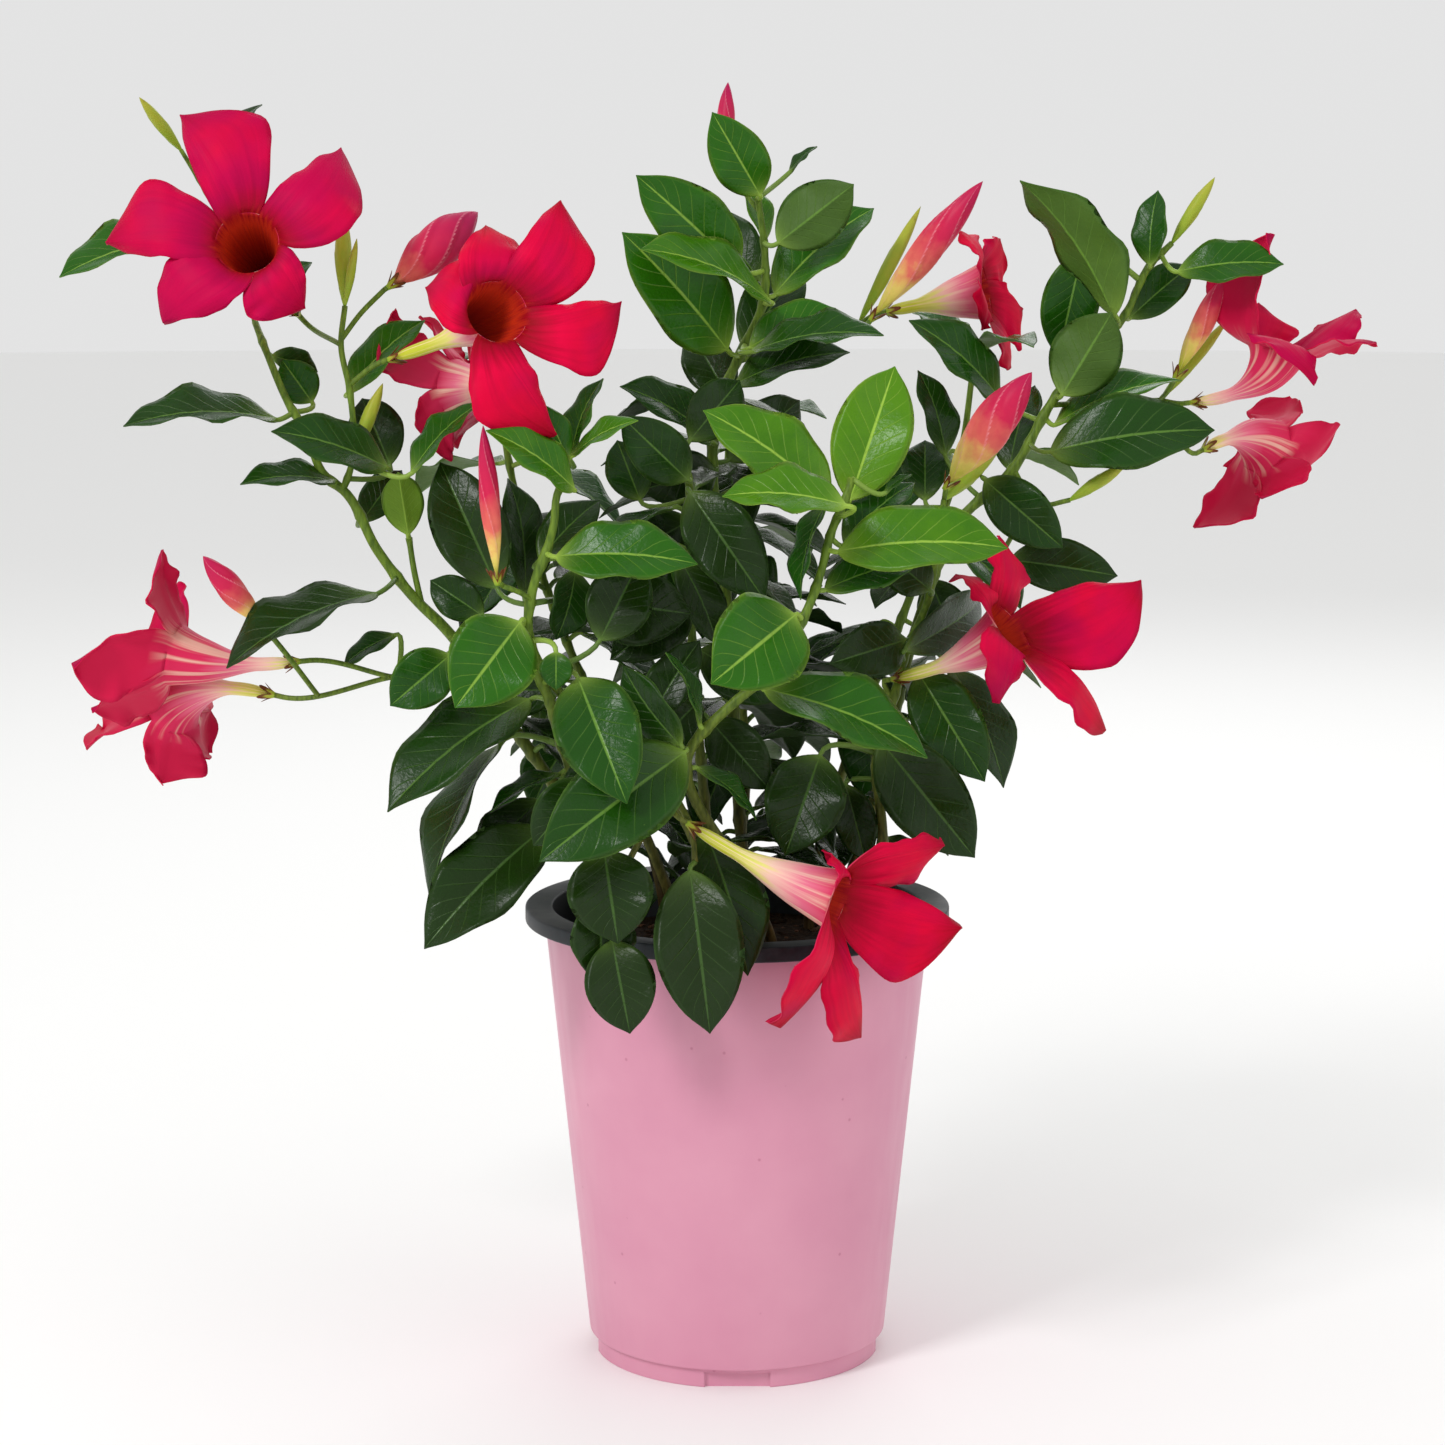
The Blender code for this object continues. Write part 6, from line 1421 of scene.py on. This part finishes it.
ends = add_node(tree, "ShaderNodeMath", {0: ends, 1: plain}, operation="MULTIPLY").outputs[0]
stripe = add_node(tree, "ShaderNodeMath", {0: stripe, 1: ends}, operation="MULTIPLY").outputs[0]
striped = add_node(tree, "ShaderNodeMix", {MIX_FACTOR: stripe, MIX_A: rose, MIX_B: linear("#f3d7bd")},
                   data_type="RGBA").outputs[MIX_RESULT]
tree.links.new(striped, shader.inputs["Base Color"])
ribs = add_node(tree, "ShaderNodeBump", {"Height": stripes, "Strength": 0.35, "Distance": 0.5 * MM})
tree.links.new(ribs.outputs["Normal"], shader.inputs["Normal"])

# Face of the petals: velvet tissue of tiny domed cells, crimson with darker veins and a deep red throat, and
# painted shade that darkens the lobes towards their curled tips.
petal_face, tree, shader = new_material("petal_face", {"Roughness": 0.55, "Specular IOR Level": 0.06})
petal = add_node(tree, "ShaderNodeSeparateXYZ", {"Vector": add_node(
    tree, "ShaderNodeAttribute", {}, attribute_name="petal").outputs["Vector"]}).outputs
round_tube = add_node(tree, "ShaderNodeAttribute", {}, attribute_name="round_tube").outputs["Vector"]
drawn_out = add_node(tree, "ShaderNodeMapping", {
    "Vector": round_tube, "Scale": (1, 1, 0.1)}).outputs["Vector"]
veins = add_node(tree, "ShaderNodeTexNoise", {
    "Vector": drawn_out, "Scale": MOUTH_RADIUS / PETAL_VEIN, "Detail": 2.0}).outputs["Fac"]
on_petal = add_node(tree, "ShaderNodeTexCoord", {}).outputs["Object"]
mottle = add_node(tree, "ShaderNodeTexNoise", {
    "Vector": on_petal, "Scale": 1 / PETAL_MOTTLE, "Detail": 4.0}).outputs["Fac"]
depth = add_node(tree, "ShaderNodeMath", {0: veins, 1: 0.3, 2: petal["Y"]},
                 operation="MULTIPLY_ADD").outputs[0]
depth = add_node(tree, "ShaderNodeMath", {0: depth, 1: 0.5, 2: -0.075}, operation="MULTIPLY_ADD").outputs[0]
# From 0.9 to the lobe tips at 1.0 the red darkens: painted shade where the lobes curl back.
crimson_with_tip_shade = add_node(tree, "ShaderNodeValToRGB", {"Fac": depth}, stops=(
    (0.2, "#7a1409"), (0.36, "#b02c0c"), (0.45, "#cc3612"), (0.51, "#960a16"), (0.58, "#b2022a"),
    (0.7, "#e4033f"), (0.9, "#de0236"), (1.0, "#a4021c"))).outputs["Color"]
deeper = add_node(tree, "ShaderNodeMapRange", {
    "Value": veins, "From Min": 0.3, "From Max": 0.6, "To Min": 0.2, "To Max": 0.0}).outputs["Result"]
deeper = add_node(tree, "ShaderNodeMath", {0: mottle, 1: 0.3, 2: deeper},
                  operation="MULTIPLY_ADD").outputs[0]
velvet = add_node(tree, "ShaderNodeMix", {MIX_FACTOR: deeper, MIX_A: crimson_with_tip_shade, MIX_B: linear("#8a0426")},
                  data_type="RGBA").outputs[MIX_RESULT]
# Magenta patches past the throat: partly the petals' own tint and partly painted sheen.
patches = add_node(tree, "ShaderNodeTexNoise", {"Vector": on_petal, "Scale": 1 / PETAL_PATCH}).outputs["Fac"]
patches = add_node(tree, "ShaderNodeMath", {0: petal["Z"], 1: 0.35, 2: patches},
                   operation="MULTIPLY_ADD").outputs[0]
magenta = add_node(tree, "ShaderNodeMapRange", {
    "Value": patches, "From Min": 0.5, "From Max": 0.8, "To Min": 0.0, "To Max": 0.6}).outputs["Result"]
past_throat = add_node(tree, "ShaderNodeMapRange", {
    "Value": petal["Y"], "From Min": 1.0, "From Max": 1.2, "To Min": 0.0, "To Max": 1.0}).outputs["Result"]
magenta = add_node(tree, "ShaderNodeMath", {0: magenta, 1: past_throat}, operation="MULTIPLY").outputs[0]
velvet = add_node(tree, "ShaderNodeMix", {MIX_FACTOR: magenta, MIX_A: velvet, MIX_B: linear("#a6024c")},
                  data_type="RGBA").outputs[MIX_RESULT]
tree.links.new(velvet, shader.inputs["Base Color"])
cells = add_node(tree, "ShaderNodeMath", {0: veins, 1: 1.5, 2: mottle}, operation="MULTIPLY_ADD").outputs[0]
crinkle = add_node(tree, "ShaderNodeBump", {"Height": cells, "Strength": 0.35, "Distance": 0.5 * MM})
tree.links.new(crinkle.outputs["Normal"], shader.inputs["Normal"])

# Anthers: five pale stamens that close over the stigma as one cone, dull with pollen.
pollen_cone, tree, shader = new_material("pollen_cone", {"Roughness": 0.8})
on_cone = add_node(tree, "ShaderNodeTexCoord", {}).outputs["Object"]
pollen = add_node(tree, "ShaderNodeTexNoise", {"Vector": on_cone, "Scale": 1 / POLLEN_GRAIN, "Detail": 3.0})
cream = add_node(tree, "ShaderNodeValToRGB", {"Fac": pollen.outputs["Fac"]},
                 stops=((0.3, "#b58a3c"), (0.7, "#e8cf86")))
tree.links.new(cream.outputs["Color"], shader.inputs["Base Color"])

# Share by which each bloom leans to magenta, partly its own tint and partly a painted sheen. The others are
# crimson.
BLOOM_MAGENTA = {"bloom_1": 0.75, "bloom_4": 0.7, "bloom_5": 0.45, "bloom_9": 0.8, "bloom_10": 0.6}

for number, (name, bloom) in enumerate(blooms.items()):
    own = BLOOM_MAGENTA.get(name, 0.05 * number % 0.3)
    roll = bloom[2][3]
    share = np.linspace(0, 1, TUBE_ROWS)[:, None]
    bearing = np.linspace(0, 2 * math.pi, LOBES * LOBE_COLUMNS, endpoint=False)[None, :]
    bearing, share = np.broadcast_arrays(roll - math.pi / LOBES + bearing, share)
    looks = np.stack((np.zeros_like(share), share, np.full_like(share, own)), axis=-1)
    rounds = np.stack((np.cos(bearing) + 9 * own, np.sin(bearing), share), axis=-1)
    skins = [(tube_surface(bloom, bearing, share), True, 0, {"petal": looks, "round_tube": rounds})]
    along = np.sin(np.linspace(0, math.pi / 2, LOBE_ROWS))[:, None]
    across = np.linspace(-1, 1, LOBE_COLUMNS + 1)[None, :]
    across, along = np.broadcast_arrays(across, along)
    for index in range(LOBES):
        points = lobe_surface(bloom, index, across, along, own)
        bearing = roll + (2 * index + across) * math.pi / LOBES
        looks = np.stack((across, 1 + along, np.full_like(along, own)), axis=-1)
        rounds = np.stack((np.cos(bearing) + 9 * own, np.sin(bearing), 1 + along), axis=-1)
        skins.append((points, False, 0, {"petal": looks, "round_tube": rounds}))
    corolla = make_piece(f"{name}_corolla", skins, [petal_back, petal_face])
    sheet = corolla.modifiers.new("petal_thickness", "SOLIDIFY")
    sheet.thickness = PETAL_THICKNESS
    sheet.offset = 0
    sheet.material_offset = 1
    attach(corolla, "root")
    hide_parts(name)

    inner, outer = [tube_surface(bloom, np.array([0, math.pi]), np.full(2, share)).mean(axis=0)
                    for share in ANTHER_SHARES]
    cone = make_piece(f"{name}_anthers", [spindle(inner, outer, ANTHER_WIDTH, *ANTHER_GRID, 0, own)],
                      [pollen_cone])
    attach(cone, "root")
    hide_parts(name)


# Floor and light. The photograph is a cut-out on white, so the floor is a plain pale one under a white sky,
# with wide soft lamps: the main one high at the left front and weaker ones at the right and behind.

FLOOR_RADIUS = 9.0
FLOOR_COLUMNS = 96
FLOOR_COLOUR = "#f8f8f7"
SKY_COLOUR = "#fbfbfb"
SKY_STRENGTH = 0.8
AIM = Vector((0, 0, 0.25))
SENSOR_WIDTH = 36

# Power in watts, side in metres and place of each square lamp.
LAMPS = {
    "main_lamp": (24.0, 0.55, (-1.3, -1.5, 1.7)),
    "fill_lamp": (4.0, 1.6, (1.7, -1.1, 0.9)),
    "back_lamp": (8.0, 1.2, (0.4, 1.7, 1.5)),
}

# Painted board: plain, pale and matt, so that only the plant's own shadow marks it.
pale_floor, tree, shader = new_material("pale_floor", {"Roughness": 0.85, "Base Color": linear(FLOOR_COLOUR)})
floor_profile = np.array([(FLOOR_RADIUS, 0.0), (0.0, 0.0)])
floor_points = turned(floor_profile, np.linspace(0, 2 * math.pi, FLOOR_COLUMNS, endpoint=False))
floor = make_piece("studio_floor", [(floor_points, True, 0, {})], [pale_floor])

world = bpy.data.worlds.new("white_studio")
world.use_nodes = True
sky = world.node_tree.nodes["Background"]
sky.inputs["Color"].default_value = linear(SKY_COLOUR)
sky.inputs["Strength"].default_value = SKY_STRENGTH
bpy.context.scene.world = world

for lamp_name, (watts, size, spot) in LAMPS.items():
    lamp = bpy.data.lights.new(lamp_name, "AREA")
    lamp.energy = watts
    lamp.size = size
    lamp_object = bpy.data.objects.new(lamp_name, lamp)
    lamp_object.location = spot
    lamp_object.rotation_euler = (AIM - Vector(spot)).to_track_quat("-Z", "Y").to_euler()
    bpy.context.scene.collection.objects.link(lamp_object)

camera = bpy.data.cameras.new("photo_camera")
camera.lens = PHOTO_FOCAL_PX / (2 * PHOTO_CENTRE_PX) * SENSOR_WIDTH
camera.sensor_width = SENSOR_WIDTH
camera_object = bpy.data.objects.new("photo_camera", camera)
camera_object.location = EYE
camera_object.rotation_euler = (math.pi / 2 - EYE_PITCH, 0, 0)
bpy.context.scene.collection.objects.link(camera_object)
bpy.context.scene.camera = camera_object
bpy.context.scene.view_settings.view_transform = "Standard"
